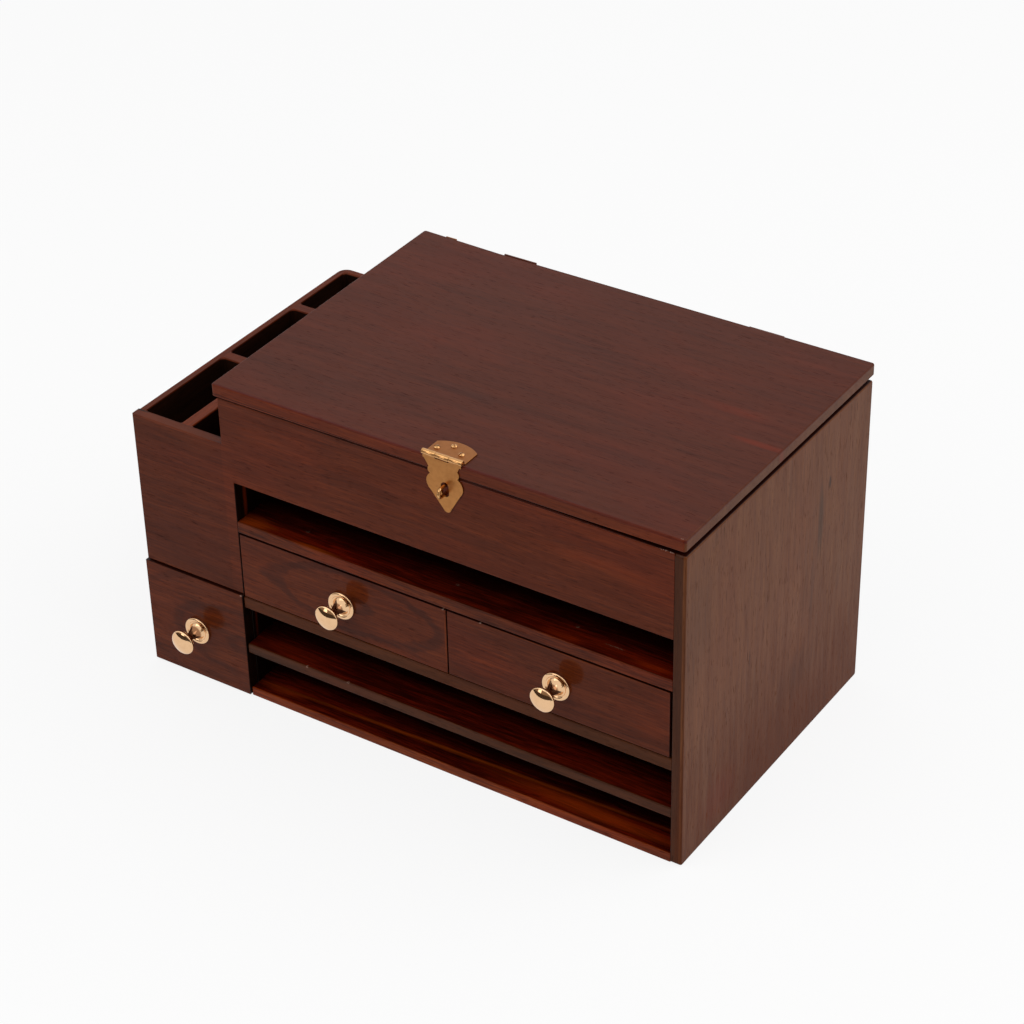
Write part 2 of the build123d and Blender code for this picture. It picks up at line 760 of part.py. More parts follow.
# ---------------------------------------------------------------- drawers
def build_drawer(name, front_x, front_z, box_x, box_z, face_y, rear_y, knob_drop):
    """One drawer: front, two sides, back, bottom, knob and the screw that holds the knob."""
    back_of_front = face_y + drawer_front_t
    left_side = (box_x[0], box_x[0] + drawer_side_t)
    right_side = (box_x[1] - drawer_side_t, box_x[1])
    groove = (box_z[0] + bottom_rise, box_z[0] + bottom_rise + drawer_bottom_t)
    bottom_x = (left_side[1] - bottom_groove, right_side[0] + bottom_groove)
    bottom_y = (back_of_front - bottom_groove, rear_y)
    knob_x = (front_x[0] + front_x[1]) / 2
    knob_z = (front_z[0] + front_z[1]) / 2 - knob_drop

    with BuildPart() as front:
        slab(front_x, (face_y, back_of_front), front_z)
        fillet(front.faces().sort_by(Axis.Y)[0].edges(), front_arris)
        # Housings for the sides. Where the wall outside one would be thin, it runs out to the end.
        for end, side in ((front_x[0], left_side), (front_x[1], right_side)):
            outer = side[0] if side is left_side else side[1]
            inner = side[1] if side is left_side else side[0]
            edge = end if abs(end - outer) < thin_wall else outer
            slab(
                sorted((edge, inner)),
                (face_y + front_lip, back_of_front),
                (front_z[0], max(front_z[1], box_z[1])),
                Mode.SUBTRACT,
            )
        slab(
            (left_side[1], right_side[0]),
            (back_of_front - bottom_groove, back_of_front),
            groove,
            Mode.SUBTRACT,
        )
        bore_y(knob_x, knob_z, face_y, drawer_front_t, knob_screw_r + hole_clearance)
    save(front, f"{name}_front")

    for hand, side in (("left", left_side), ("right", right_side)):
        with BuildPart() as drawer_side:
            slab(side, (face_y + front_lip, rear_y), box_z)
            slab(
                sorted(((side[1], side[1] - bottom_groove), (side[0], side[0] + bottom_groove))[hand == "right"]),
                (face_y + front_lip, rear_y),
                groove,
                Mode.SUBTRACT,
            )
        save(drawer_side, f"{name}_{hand}_side")

    with BuildPart() as drawer_back:
        slab(
            (left_side[1], right_side[0]),
            (rear_y - drawer_back_t, rear_y),
            (groove[1], box_z[1]),
        )
    save(drawer_back, f"{name}_back")

    with BuildPart() as bottom:
        slab(bottom_x, bottom_y, groove)
    save(bottom, f"{name}_bottom")

    build_knob(f"{name}_knob", knob_x, knob_z, face_y)

    with BuildPart() as knob_screw:
        with BuildSketch(Plane.XZ.offset(-back_of_front)):
            with Locations((knob_x, knob_z)):
                Circle(knob_screw_r)
        extrude(amount=drawer_front_t + knob_screw_length - 1.0)
        with BuildSketch(Plane.XZ.offset(-back_of_front)):
            with Locations((knob_x, knob_z)):
                Circle(knob_screw_head_r)
        extrude(amount=-knob_screw_head_t, taper=20)
    save(knob_screw, f"{name}_knob_screw")


small_front_z = (drawer_bed_z + front_gap, upper_shelf_z - front_gap)
small_box_z = (drawer_bed_z + bed_clearance, upper_shelf_z - drawer_top_clearance)
small_rear = back_inner - drawer_back_clearance

build_drawer(
    "left_drawer",
    (left_panel_inner + front_gap, bay_centre - front_gap / 2),
    small_front_z,
    (left_panel_inner + side_clearance, bay_centre - drawer_divider_t / 2 - side_clearance),
    small_box_z,
    y_front,
    small_rear,
    small_knob_drop,
)
build_drawer(
    "right_drawer",
    (bay_centre + front_gap / 2, right_panel_inner - front_gap),
    small_front_z,
    (bay_centre + drawer_divider_t / 2 + side_clearance, right_panel_inner - side_clearance),
    small_box_z,
    y_front,
    small_rear,
    small_knob_drop,
)
build_drawer(
    "annex_drawer",
    (x_left - annex_front_overhang, left_panel_inner - front_gap / 2),
    (annex_front_lift, annex_seam_h - front_gap),
    (annex_inner_left + side_clearance, left_panel_outer - side_clearance),
    (annex_base_t + bed_clearance, annex_seam_h - drawer_top_clearance),
    y_front - annex_front_proud,
    annex_inner_back - drawer_back_clearance,
    annex_knob_drop,
)
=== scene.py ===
import logging
import math
from dataclasses import dataclass, field, replace
from enum import Enum
from itertools import count
from typing import Any, Callable, Iterable, Sequence

import bmesh
import bpy
from mathutils import Euler, Matrix, Vector


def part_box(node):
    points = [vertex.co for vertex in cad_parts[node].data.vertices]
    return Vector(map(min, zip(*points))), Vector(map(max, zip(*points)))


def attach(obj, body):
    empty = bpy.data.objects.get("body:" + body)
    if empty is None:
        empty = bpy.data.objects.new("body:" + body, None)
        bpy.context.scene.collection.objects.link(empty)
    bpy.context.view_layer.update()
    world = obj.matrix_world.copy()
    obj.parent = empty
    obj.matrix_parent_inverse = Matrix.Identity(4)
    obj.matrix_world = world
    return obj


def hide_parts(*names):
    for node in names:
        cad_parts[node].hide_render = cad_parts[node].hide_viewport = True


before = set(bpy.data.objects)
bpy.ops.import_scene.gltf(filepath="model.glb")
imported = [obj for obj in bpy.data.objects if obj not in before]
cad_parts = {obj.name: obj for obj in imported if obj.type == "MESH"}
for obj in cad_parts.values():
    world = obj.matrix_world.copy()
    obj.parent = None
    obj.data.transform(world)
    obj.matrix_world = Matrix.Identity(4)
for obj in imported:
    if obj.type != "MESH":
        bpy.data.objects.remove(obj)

LOG = logging.getLogger("desk_organizer")

Colour = tuple[float, float, float]
Point = tuple[float, float, float]
Spot = tuple[float, float]
Profile = Sequence[Spot]

MM = 0.001
SEWN_WITHIN = 0.002 * MM
SLOT_CREASE = 50.0


# ---------------------------------------------------------------------- shader arithmetic
class Wire:
    """A number running between shader nodes, which can be used in ordinary arithmetic."""

    def __init__(self, bench: "FinishBench", socket: bpy.types.NodeSocket) -> None:
        """Wraps a socket.

        Args:
            bench: The material under construction.
            socket: The output socket that carries the number.
        """
        self.bench = bench
        self.socket = socket

    def _maths(self, operation: str, *terms: "Wire | float", clamp: bool = False) -> "Wire":
        """Adds one Math node.

        Args:
            operation: Blender's name of the operation.
            terms: What goes into the node's sockets, in order.
            clamp: Whether the result is held between 0 and 1.

        Returns:
            The node's result.
        """
        node = self.bench.add(
            "ShaderNodeMath", {"operation": operation, "use_clamp": clamp}, dict(enumerate(terms))
        )
        return Wire(self.bench, node.outputs[0])

    def __add__(self, other: "Wire | float") -> "Wire":
        """This plus another."""
        return self._maths("ADD", self, other)

    def __radd__(self, other: float) -> "Wire":
        """A number plus this."""
        return self._maths("ADD", other, self)

    def __sub__(self, other: "Wire | float") -> "Wire":
        """This less another."""
        return self._maths("SUBTRACT", self, other)

    def __rsub__(self, other: float) -> "Wire":
        """A number less this."""
        return self._maths("SUBTRACT", other, self)

    def __mul__(self, other: "Wire | float") -> "Wire":
        """This times another."""
        return self._maths("MULTIPLY", self, other)

    def __rmul__(self, other: float) -> "Wire":
        """A number times this."""
        return self._maths("MULTIPLY", other, self)

    def __truediv__(self, other: "Wire | float") -> "Wire":
        """This over another."""
        return self._maths("DIVIDE", self, other)

    def __pow__(self, power: float) -> "Wire":
        """This to a power."""
        return self._maths("POWER", self, power)

    def __abs__(self) -> "Wire":
        """This without its sign."""
        return self._maths("ABSOLUTE", self)

    def root(self) -> "Wire":
        """The square root."""
        return self._maths("SQRT", self)

    def sine(self) -> "Wire":
        """The sine, of radians."""
        return self._maths("SINE", self)

    def held(self) -> "Wire":
        """This held between 0 and 1."""
        return self._maths("ADD", self, 0.0, clamp=True)

    def most(self, other: "Wire | float") -> "Wire":
        """The larger of the two."""
        return self._maths("MAXIMUM", self, other)

    def rise(self, low: float, high: float) -> "Wire":
        """A smooth step.

        Args:
            low: Where the result is still 0.
            high: Where it has reached 1.

        Returns:
            A number from 0 to 1.
        """
        node = self.bench.add(
            "ShaderNodeMapRange",
            {"interpolation_type": "SMOOTHSTEP"},
            {0: self, 1: low, 2: high, 3: 0.0, 4: 1.0},
        )
        return Wire(self.bench, node.outputs[0])


class FinishBench:
    """The node tree of one material or world, and the single method that adds nodes to it."""

    def __init__(self, owner: bpy.types.Material | bpy.types.World) -> None:
        """Clears the owner's node tree.

        Args:
            owner: The material or world that is worked on.
        """
        self.owner = owner
        owner.use_nodes = True
        self.tree = owner.node_tree
        self.tree.nodes.clear()

    @classmethod
    def material(cls, name: str) -> "FinishBench":
        """Starts a new material of that name."""
        return cls(bpy.data.materials.new(name))

    def add(
        self, kind: str, settings: dict[str, Any] | None = None, sockets: dict[Any, Any] | None = None
    ) -> bpy.types.Node:
        """Adds a node, sets it up and feeds it.

        Args:
            kind: The node's type.
            settings: Its own settings. "stops" are a colour ramp's (place, colour) pairs.
            sockets: Input name or number to a Wire, an output socket or a plain value.

        Returns:
            The new node.
        """
        node = self.tree.nodes.new(kind)
        for key, value in (settings or {}).items():
            if key == "stops":
                ramp = node.color_ramp
                while len(ramp.elements) < len(value):
                    ramp.elements.new(0.5)
                for element, (place, colour) in zip(ramp.elements, value):
                    element.position = place
                    element.color = (*colour, 1.0)
            else:
                setattr(node, key, value)
        for key, value in (sockets or {}).items():
            target = node.inputs[key]
            if isinstance(value, Wire):
                self.tree.links.new(value.socket, target)
            elif isinstance(value, bpy.types.NodeSocket):
                self.tree.links.new(value, target)
            else:
                target.default_value = value
        return node

    def place(self) -> tuple[Wire, Wire, Wire]:
        """Reads where on the object the shading is.

        Returns:
            The place along X, Y and Z, in metres.
        """
        coordinates = self.add("ShaderNodeTexCoord")
        parts = self.add("ShaderNodeSeparateXYZ", None, {0: coordinates.outputs["Object"]})
        return tuple(Wire(self, output) for output in parts.outputs)

    def cloud(
        self, where: tuple[Wire, Wire, Wire], detail: float = 2.0, roughness: float = 0.5
    ) -> Wire:
        """Soft noise.

        Args:
            where: The place, already scaled so that one unit is one blotch.
            detail: How many finer layers it has.
            roughness: How strong these are.

        Returns:
            A number that is mostly between 0.3 and 0.7.
        """
        vector = self.add("ShaderNodeCombineXYZ", None, dict(enumerate(where)))
        node = self.add(
            "ShaderNodeTexNoise",
            {"noise_dimensions": "3D"},
            {"Vector": vector.outputs[0], "Scale": 1.0, "Detail": detail, "Roughness": roughness},
        )
        return Wire(self, node.outputs[0])

    def tint(
        self,
        amount: Wire | float,
        first: bpy.types.NodeSocket | Colour,
        second: bpy.types.NodeSocket | Colour,
        how: str = "MIX",
    ) -> bpy.types.NodeSocket:
        """Mixes two colours.

        Args:
            amount: 0 gives the first, 1 the second.
            first: A colour or a colour socket.
            second: A colour or a colour socket.
            how: The blend type.

        Returns:
            The mixed colour's socket.
        """
        colours = {
            key: (*value, 1.0) if isinstance(value, tuple) else value
            for key, value in ((6, first), (7, second))
        }
        settings = {"data_type": "RGBA", "blend_type": how}
        return self.add("ShaderNodeMix", settings, {0: amount, **colours}).outputs[2]

    def relief(self, strength: float, depth: float, height: Wire) -> bpy.types.NodeSocket:
        """The tilt that a height gives the surface.

        Args:
            strength: How much of it shows.
            depth: How deep it goes, in metres.
            height: The height, from 0 to 1.

        Returns:
            The normal's socket.
        """
        sockets = {"Strength": strength, "Distance": depth, "Height": height}
        return self.add("ShaderNodeBump", None, sockets).outputs[0]

    def surface(self, **sockets: Any) -> bpy.types.Material:
        """Dresses the owner in one principled shader, whose inputs are named with underscores."""
        named = {key.replace("_", " "): value for key, value in sockets.items()}
        return self.finish(self.add("ShaderNodeBsdfPrincipled", None, named))

    def glow(self, colour: Colour, strength: float) -> bpy.types.Node:
        """A shader that gives off light of that colour and strength."""
        return self.add("ShaderNodeEmission", None, {"Color": (*colour, 1.0), "Strength": strength})

    def seen_directly(self) -> Wire:
        """1 where the camera, a reflection or a view through glass looks."""
        path = self.add("ShaderNodeLightPath")
        return (
            Wire(self, path.outputs["Is Camera Ray"])
            .most(Wire(self, path.outputs["Is Glossy Ray"]))
            .most(Wire(self, path.outputs["Is Transmission Ray"]))
        )

    def finish(self, shader: bpy.types.Node) -> bpy.types.Material:
        """Joins the shader to the output and returns the material."""
        self.add("ShaderNodeOutputMaterial", None, {"Surface": shader.outputs[0]})
        return self.owner


# ---------------------------------------------------------------------- finishes
class Grain(Enum):
    """Which way a board's grain runs."""

    ACROSS_THE_FRONT = 0
    FRONT_TO_BACK = 1
    UPRIGHT = 2


@dataclass(frozen=True)
class Tone:
    """The three colours of one face of a board, from the dark strands to the glowing ones; most tones
    carry light or shade painted on that face.
    """

    deep: Colour
    body: Colour
    glow: Colour

    def stops(self) -> tuple[tuple[float, Colour], ...]:
        """The colour ramp's stops."""
        return ((0.15, self.deep), (0.50, self.body), (0.88, self.glow))

    def scaled(self, factor: float) -> "Tone":
        """The same tone, darker or lighter by a factor."""
        tones = self.deep, self.body, self.glow
        return Tone(*(tuple(part * factor for part in tone) for tone in tones))


# One stain, painted at the brightness that each way of facing shows under the lamps: FRONT, TOP, SIDE,
# EDGE and BASE_EDGE are painted light and shade, and the grey of EDGE_TONE is painted sheen.
FRONT_TONE = Tone((0.054, 0.0085, 0.0014), (0.090, 0.0140, 0.0018), (0.145, 0.0245, 0.0028))
TOP_TONE = Tone((0.050, 0.0088, 0.0026), (0.076, 0.0128, 0.0030), (0.108, 0.0175, 0.0036))
SIDE_TONE = Tone((0.078, 0.0170, 0.0030), (0.118, 0.0330, 0.0068), (0.158, 0.0520, 0.0130))
EDGE_TONE = Tone((0.038, 0.0095, 0.0020), (0.052, 0.0130, 0.0026), (0.072, 0.0180, 0.0036))
BASE_EDGE_TONE = Tone((0.090, 0.0130, 0.0010), (0.150, 0.0220, 0.0015), (0.230, 0.0410, 0.0030))
# Painted shade: SHELF, CELL and GAP are the stain darkened where shade falls, inside the open shelves,
# in the pen cells and other recesses, and in the gaps round the lid and the drawers. INNER is a darker
# tone for the boards inside the lidded compartment.
SHELF_TONE = Tone((0.022, 0.0013, 0.0003), (0.052, 0.0029, 0.0004), (0.120, 0.0080, 0.0008))
INNER_TONE = Tone((0.022, 0.0028, 0.0007), (0.040, 0.0052, 0.0010), (0.062, 0.0095, 0.0016))
CELL_SHADE_TONE = Tone((0.0080, 0.0028, 0.0013), (0.0140, 0.0044, 0.0019), (0.0220, 0.0064, 0.0026))
GAP_SHADE_TONE = Tone((0.0110, 0.0018, 0.0007), (0.0180, 0.0027, 0.0010), (0.0280, 0.0042, 0.0014))
RAW_TONE = Tone((0.120, 0.0450, 0.0170), (0.190, 0.0800, 0.0330), (0.270, 0.1300, 0.0600))


@dataclass(frozen=True)
class Face:
    """One face of a board that has a tone of its own, such as a front edge; the tone paints the light
    or shade that falls on that face.
    """

    axis: int
    place: float
    tone: Tone
    depth: float = 1.1 * MM
    within: tuple[int, float, float] | None = None


@dataclass(frozen=True)
class Patch:
    """A soft-edged stretch of a board with another tone: a glow, a dark streak, a worn spot, a painted
    glint or highlight, or painted shade.
    """

    centre: Point
    reach: Point
    colour: Colour
    strength: float = 0.8
    edge: float = 0.6
    ragged: float = 0.5
    chipped: bool = False
    lean: float = 0.0
    dulls: float = 0.0

    @classmethod
    def chip(
        cls, centre: Point, reach: Point, colour: Colour, strength: float,
        edge: float = 0.5, ragged: float = 0.3,
    ) -> "Patch":
        """A patch of specks where the stain is chipped off."""
        return cls(centre, reach, colour, strength, edge, ragged, chipped=True)


def on_face(axis: int, place: float, depth: float, *rows: tuple) -> tuple[Patch, ...]:
    """Patches that all lie on one face of a board.

    Args:
        axis: The axis that the face looks along.
        place: Where the face lies on it.
        depth: How far the patches go in from the face.
        rows: For each patch its centre and its reach along the face's two axes, then its
            colour, strength, edge and raggedness, and whether it is chipped.

    Returns:
        The patches, in the same order.
    """
    patches = []
    for first, second, wide, high, *look in rows:
        centre, reach = [first, second], [wide, high]
        centre.insert(axis, place)
        reach.insert(axis, depth)
        patches.append(Patch(tuple(centre), tuple(reach), *look))
    return tuple(patches)


@dataclass(frozen=True)
class Rings:
    """The tongue-shaped rings of a flat-sawn board, round a centre on its face."""

    centre: Point
    stretch: float = 0.30
    spacing: float = 7.0 * MM
    strength: float = 0.12


SEED_STEPS = (0.731, 0.377, 0.219)
GRAIN_WANDER = 0.010


@dataclass(frozen=True)
class StainedWood:
    """Red-brown stain under lacquer on one board, with its own stretch of grain, and the light and
    shade painted on its faces and patches.
    """

    name: str
    grain: Grain
    seed: float
    tone: Tone = FRONT_TONE
    faces: tuple[Face, ...] = ()
    patches: tuple[Patch, ...] = ()
    rings: Rings | None = None
    contrast: float = 1.0
    band: Point = (0.160, 0.013, 0.013)
    blotch: float = 0.5
    streaks: float = 0.25
    lacquer: float = 0.15
    lacquer_roughness: float = 0.07
    sheen: float = 0.05
    figure: float = 0.7
    gloss_grain: float = 0.9

    def build(self) -> bpy.types.Material:
        """Makes the material.

        Returns:
            A material with figure, streaks, pores, worn places, painted light and shade, and lacquer.
        """
        bench = FinishBench.material(self.name)
        place = bench.place()
        x, y, z = place
        along, across, through = {
            Grain.ACROSS_THE_FRONT: (x, y, z),
            Grain.FRONT_TO_BACK: (y, x, z),
            Grain.UPRIGHT: (z, x, y),
        }[self.grain]
        along = along + self.seed * SEED_STEPS[0]
        wander = bench.cloud((along * 7.0, across * 16.0, through * 16.0)) - 0.5
        across = across + wander * GRAIN_WANDER + self.seed * SEED_STEPS[1]
        through = through + wander * GRAIN_WANDER + self.seed * SEED_STEPS[2]

        def strands(length: float, width: float, detail: float) -> Wire:
            """Noise drawn out along the grain: strands so many metres long and wide."""
            return bench.cloud((along / length, across / width, through / width), detail, 0.6)

        bands = bench.cloud(
            (along / self.band[0], across / self.band[1], through / self.band[2]), 2.0
        )
        stripes = strands(0.060, 0.0036, 3.0)
        fibres = strands(0.022, 0.0009, 2.0)
        pores = strands(0.007, 0.00050, 0.0).rise(0.66, 0.76)
        tone = 0.5 + (
            (bands - 0.5) * self.figure + (stripes - 0.5) * 1.0 + (fibres - 0.5) * 1.2
        ) * self.contrast
        if self.rings:
            tone = tone + self._ring_lines(bench, place)
        tone = tone.held()

        colour = self._ramp(bench, tone, self.tone)
        for face in self.faces:
            near = 1.0 - (abs(place[face.axis] - face.place) / face.depth).rise(0.7, 1.0)
            if face.within:
                axis, start, end = face.within
                off = abs(place[axis] - (start + end) / 2) / ((end - start) / 2)
                near = near * (1.0 - off.rise(0.99, 1.0))
            colour = bench.tint(near, colour, self._ramp(bench, tone, face.tone))
        clouds = bench.cloud((along * 9.0, across * 22.0, through * 22.0)).rise(0.42, 0.68)
        colour = bench.tint(clouds * self.blotch, colour, (1.30, 0.98, 0.85), "MULTIPLY")
        lines = strands(0.080, 0.0026, 1.0).rise(0.62, 0.72)
        colour = bench.tint(lines * self.streaks, colour, (0.45, 0.50, 0.60), "MULTIPLY")
        colour = bench.tint(pores * 0.5, colour, (0.35, 0.32, 0.32), "MULTIPLY")
        # worn gathers where chips and patches dull the lacquer; for the right side's foot that is part
        # of its painted shade.
        worn = None
        for patch in self.patches:
            amount = self._patch(bench, place, patch, stripes)
            dark, light = (tuple(factor * part for part in patch.colour) for factor in (0.65, 1.35))
            light = bench.tint(tone, dark, light)
            colour = bench.tint(amount, colour, light)
            dulling = 1.0 if patch.chipped else patch.dulls
            if dulling:
                worn = amount * dulling if worn is None else worn.most(amount * dulling)
        relief = bench.relief(0.30, 0.10 * MM, fibres * 0.35 + stripes * 0.5 - pores * 0.6)
        coat = self.lacquer * (1.0 + (stripes - 0.5) * self.gloss_grain - pores * 0.35)
        if worn:
            coat = coat * (1.0 - worn)
        return bench.surface(
            Base_Color=colour,
            Roughness=fibres * 0.16 + pores * 0.15 + 0.40,
            Specular_IOR_Level=self.sheen,
            Coat_Weight=coat,
            Coat_Roughness=self.lacquer_roughness,
            Coat_IOR=1.5,
            Normal=relief,
        )

    @staticmethod
    def _ramp(bench: FinishBench, tone: Wire, colours: Tone) -> bpy.types.NodeSocket:
        """The colour that a tone gives each strand."""
        return bench.add("ShaderNodeValToRGB", {"stops": colours.stops()}, {0: tone}).outputs[0]

    def _ring_lines(self, bench: FinishBench, place: tuple[Wire, Wire, Wire]) -> Wire:
        """The rings' share of the tone.

        Args:
            bench: The material under construction.
            place: The place on the object.

        Returns:
            A number round 0 that is lowest on each dark ring line.
        """
        rings = self.rings
        x, _, z = place
        ripple = (bench.cloud((x * 30.0, x * 30.0, z * 60.0)) - 0.5) * 0.010
        reach = ((x - rings.centre[0]) * rings.stretch) ** 2 + (z - rings.centre[2]) ** 2
        wave = ((reach.root() + ripple) * (math.tau / rings.spacing)).sine()
        fade = 1.0 - reach.root().rise(rings.spacing, rings.spacing * 4.5)
        return (wave.rise(0.55, 1.0) * -2.0 + 0.4) * fade * rings.strength

    @staticmethod
    def _patch(
        bench: FinishBench, place: tuple[Wire, Wire, Wire], patch: Patch, strands: Wire
    ) -> Wire:
        """How far a patch covers each place.

        Args:
            bench: The material under construction.
            place: The place on the object.
            patch: The patch.
            strands: The grain, which frays the patch's edge.

        Returns:
            A number from 0 to the patch's strength.
        """
        x, y, z = (axis - centre for axis, centre in zip(place, patch.centre))
        if patch.lean:
            y = y - x * patch.lean
        squares = [(gap / reach) ** 2 for gap, reach in zip((x, y, z), patch.reach)]
        gap = (squares[0] + squares[1] + squares[2]).root() + (strands - 0.5) * patch.ragged
        amount = (1.0 - gap.rise(1.0 - patch.edge, 1.0)) * patch.strength
        if patch.chipped:
            chips = bench.cloud(tuple(axis * 1100.0 for axis in place), 1.0).rise(0.44, 0.54)
            amount = amount * chips
        return amount


@dataclass(frozen=True)
class PaintedShadeBand:
    """A darker band painted on a turned fitting, between two places along Y: painted shade on a knob's
    neck and under its head.
    """

    start: float
    end: float
    colour: Colour
    strength: float


@dataclass(frozen=True)
class Metal:
    """A metal fitting's finish."""

    name: str
    colour: Colour
    shade: Colour
    roughness: float
    brushed: float = 0.0
    dulling: float = 0.3
    metallic: float = 1.0
    relief: float = 0.10
    shade_band: PaintedShadeBand | None = None

    def build(self) -> bpy.types.Material:
        """Makes the material.

        Returns:
            A metal with clouded tone, fine brushing and handling marks.
        """
        bench = FinishBench.material(self.name)
        x, y, z = bench.place()
        haze = bench.cloud((x * 320.0, y * 320.0, z * 320.0), 3.0).rise(0.35, 0.70)
        fine = bench.cloud((x / 0.006, y / 0.00025, z / 0.00025), 2.0)
        colour = bench.tint(haze * self.dulling, self.colour, self.shade)
        # A darker band along Y: painted shade on the knob's neck and the back of its head.
        if self.shade_band:
            middle = (self.shade_band.start + self.shade_band.end) / 2
            half = (self.shade_band.end - self.shade_band.start) / 2
            inside = 1.0 - (abs(y - middle) / half).rise(0.8, 1.0)
            colour = bench.tint(inside * self.shade_band.strength, colour, self.shade_band.colour)
        relief = bench.relief(self.relief + self.brushed * 0.5, 0.03 * MM, fine)
        return bench.surface(
            Base_Color=colour,
            Metallic=self.metallic,
            Roughness=haze * 0.06 + (fine - 0.5) * (0.10 * self.brushed) + self.roughness,
            Normal=relief,
        )


# ---------------------------------------------------------------------- workpieces
class Workpiece:
    """A new piece under construction, with the few moves that every piece shares."""

    flat_from = 0.75 * MM
    flat_within = 0.4
    touching = 1e-7

    def __init__(self, name: str) -> None:
        """Starts an empty piece.

        Args:
            name: The finished object's name.
        """
        self.name = name
        self.mesh = bmesh.new()
        self.mesh.verts.layers.int.new("settled")

    @classmethod
    def copy_of(cls, name: str, node: str) -> "Workpiece":
        """Starts a piece from a copy of a CAD node, with its loose triangles sewn together.

        Args:
            name: The finished object's name.
            node: The CAD node.

        Returns:
            The piece, whose flat faces are whole again.
        """
        piece = cls(name)
        piece.mesh.from_mesh(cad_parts[node].data)
        piece.mesh.verts.layers.int.new("settled")
        bmesh.ops.remove_doubles(piece.mesh, verts=piece.mesh.verts[:], dist=SEWN_WITHIN)
        bmesh.ops.dissolve_limit(
            piece.mesh,
            angle_limit=math.radians(cls.flat_within),
            verts=piece.mesh.verts[:],
            edges=piece.mesh.edges[:],
        )
        return piece

    def soften(
        self,
        width: float,
        segments: int = 2,
        sharper_than: float = 40.0,
        only: Callable[[bmesh.types.BMEdge], bool] = lambda edge: True,
    ) -> None:
        """Rounds the outward edges a little.

        Args:
            width: How much each rounding takes off, in millimetres.
            segments: How many strips each has.
            sharper_than: Only edges that turn by more degrees than this are rounded.
            only: Says which of them are rounded.
        """
        limit = math.radians(sharper_than)
        edges = [
            edge
            for edge in self.mesh.edges
            if len(edge.link_faces) == 2
            and edge.is_convex
            and edge.calc_face_angle() > limit
            and only(edge)
        ]
        self.bevel(edges, width, segments)

    def bevel(self, edges: list[bmesh.types.BMEdge], width: float, segments: int) -> None:
        """Rounds some edges.

        Args:
            edges: The edges.
            width: How much each rounding takes off, in millimetres.
            segments: How many strips each has.
        """
        bmesh.ops.bevel(
            self.mesh,
            geom=edges,
            offset=width * MM,
            offset_type="OFFSET",
            segments=segments,
            profile=0.5,
            affect="EDGES",
            clamp_overlap=True,
            material=-1,
        )

    def cut(self, region: list[Any], at: Point | Vector, square_to: Point | Vector) -> None:
        """Adds a line of points right round a region of the piece.

        Args:
            region: The region's points, edges and faces.
            at: A place on the plane of the line.
            square_to: The plane's normal.
        """
        bmesh.ops.bisect_plane(
            self.mesh, geom=region, plane_co=at, plane_no=square_to, dist=self.touching
        )

    def cut_at(self, *places: float) -> None:
        """Adds lines of points right round the piece, where it starts to bend along X."""
        for x in places:
            region = self.mesh.verts[:] + self.mesh.edges[:] + self.mesh.faces[:]
            self.cut(region, (x, 0.0, 0.0), (1.0, 0.0, 0.0))

    def fresh(self) -> list[bmesh.types.BMVert]:
        """The points that no earlier move has settled."""
        settled = self.mesh.verts.layers.int["settled"]
        return [vert for vert in self.mesh.verts if not vert[settled]]

    def _on_fresh(self, parts: Any) -> list[Any]:
        """The edges or faces that have a fresh point."""
        fresh = set(self.fresh())
        return [part for part in parts if any(vert in fresh for vert in part.verts)]

    def settle(self, at: Point, outward: Point) -> None:
        """Carries the fresh points, modelled upright round Z, to their place and marks them settled.

        Args:
            at: Where their origin goes, in metres.
            outward: Where their Z goes.
        """
        turn = Vector((0.0, 0.0, 1.0)).rotation_difference(Vector(outward)).to_matrix().to_4x4()
        bmesh.ops.transform(self.mesh, matrix=Matrix.Translation(at) @ turn, verts=self.fresh())
        settled = self.mesh.verts.layers.int["settled"]
        for vert in self.fresh():
            vert[settled] = 1

    def turn(self, profile: Profile, steps: int) -> None:
        """Turns a closed solid round Z from half of its outline, as on a lathe.

        Args:
            profile: (radius, height) from one pole to the other, in millimetres.
            steps: How many faces go round.
        """
        points = [self.mesh.verts.new((radius * MM, 0.0, height * MM)) for radius, height in profile]
        edges = [self.mesh.edges.new(pair) for pair in zip(points, points[1:])]
        bmesh.ops.spin(
            self.mesh,
            geom=points + edges,
            cent=(0.0, 0.0, 0.0),
            axis=(0.0, 0.0, 1.0),
            dvec=(0.0, 0.0, 0.0),
            angle=math.tau,
            steps=steps,
            use_merge=True,
            use_duplicate=False,
        )
        bmesh.ops.remove_doubles(self.mesh, verts=self.fresh(), dist=0.001 * MM)

    def slot_head(self, width: float, floor: float, turned: float) -> None:
        """Sinks a driver's slot into the fresh, turned head.

        Args:
            width: The slot's width in millimetres.
            floor: The height of its floor in millimetres.
            turned: Which way it runs, in degrees from X.
        """
        side = Matrix.Rotation(math.radians(turned), 3, "Z") @ Vector((0.0, 1.0, 0.0))
        half = width / 2 * MM
        for sign in (-1.0, 1.0):
            region = self.fresh() + self._on_fresh(self.mesh.edges) + self._on_fresh(self.mesh.faces)
            self.cut(region, side * (sign * half), side)
        strip = [
            face
            for face in self._on_fresh(self.mesh.faces)
            if abs(face.calc_center_median().dot(side)) < half
            and min(vert.co.z for vert in face.verts) > floor * MM - 1e-6
        ]
        sunk = bmesh.ops.extrude_face_region(self.mesh, geom=strip)["geom"]
        for vert in sunk:
            if isinstance(vert, bmesh.types.BMVert):
                vert.co.z = floor * MM
        left = [face for face in strip if face.is_valid]
        if left:
            bmesh.ops.delete(self.mesh, geom=left, context="FACES_ONLY")

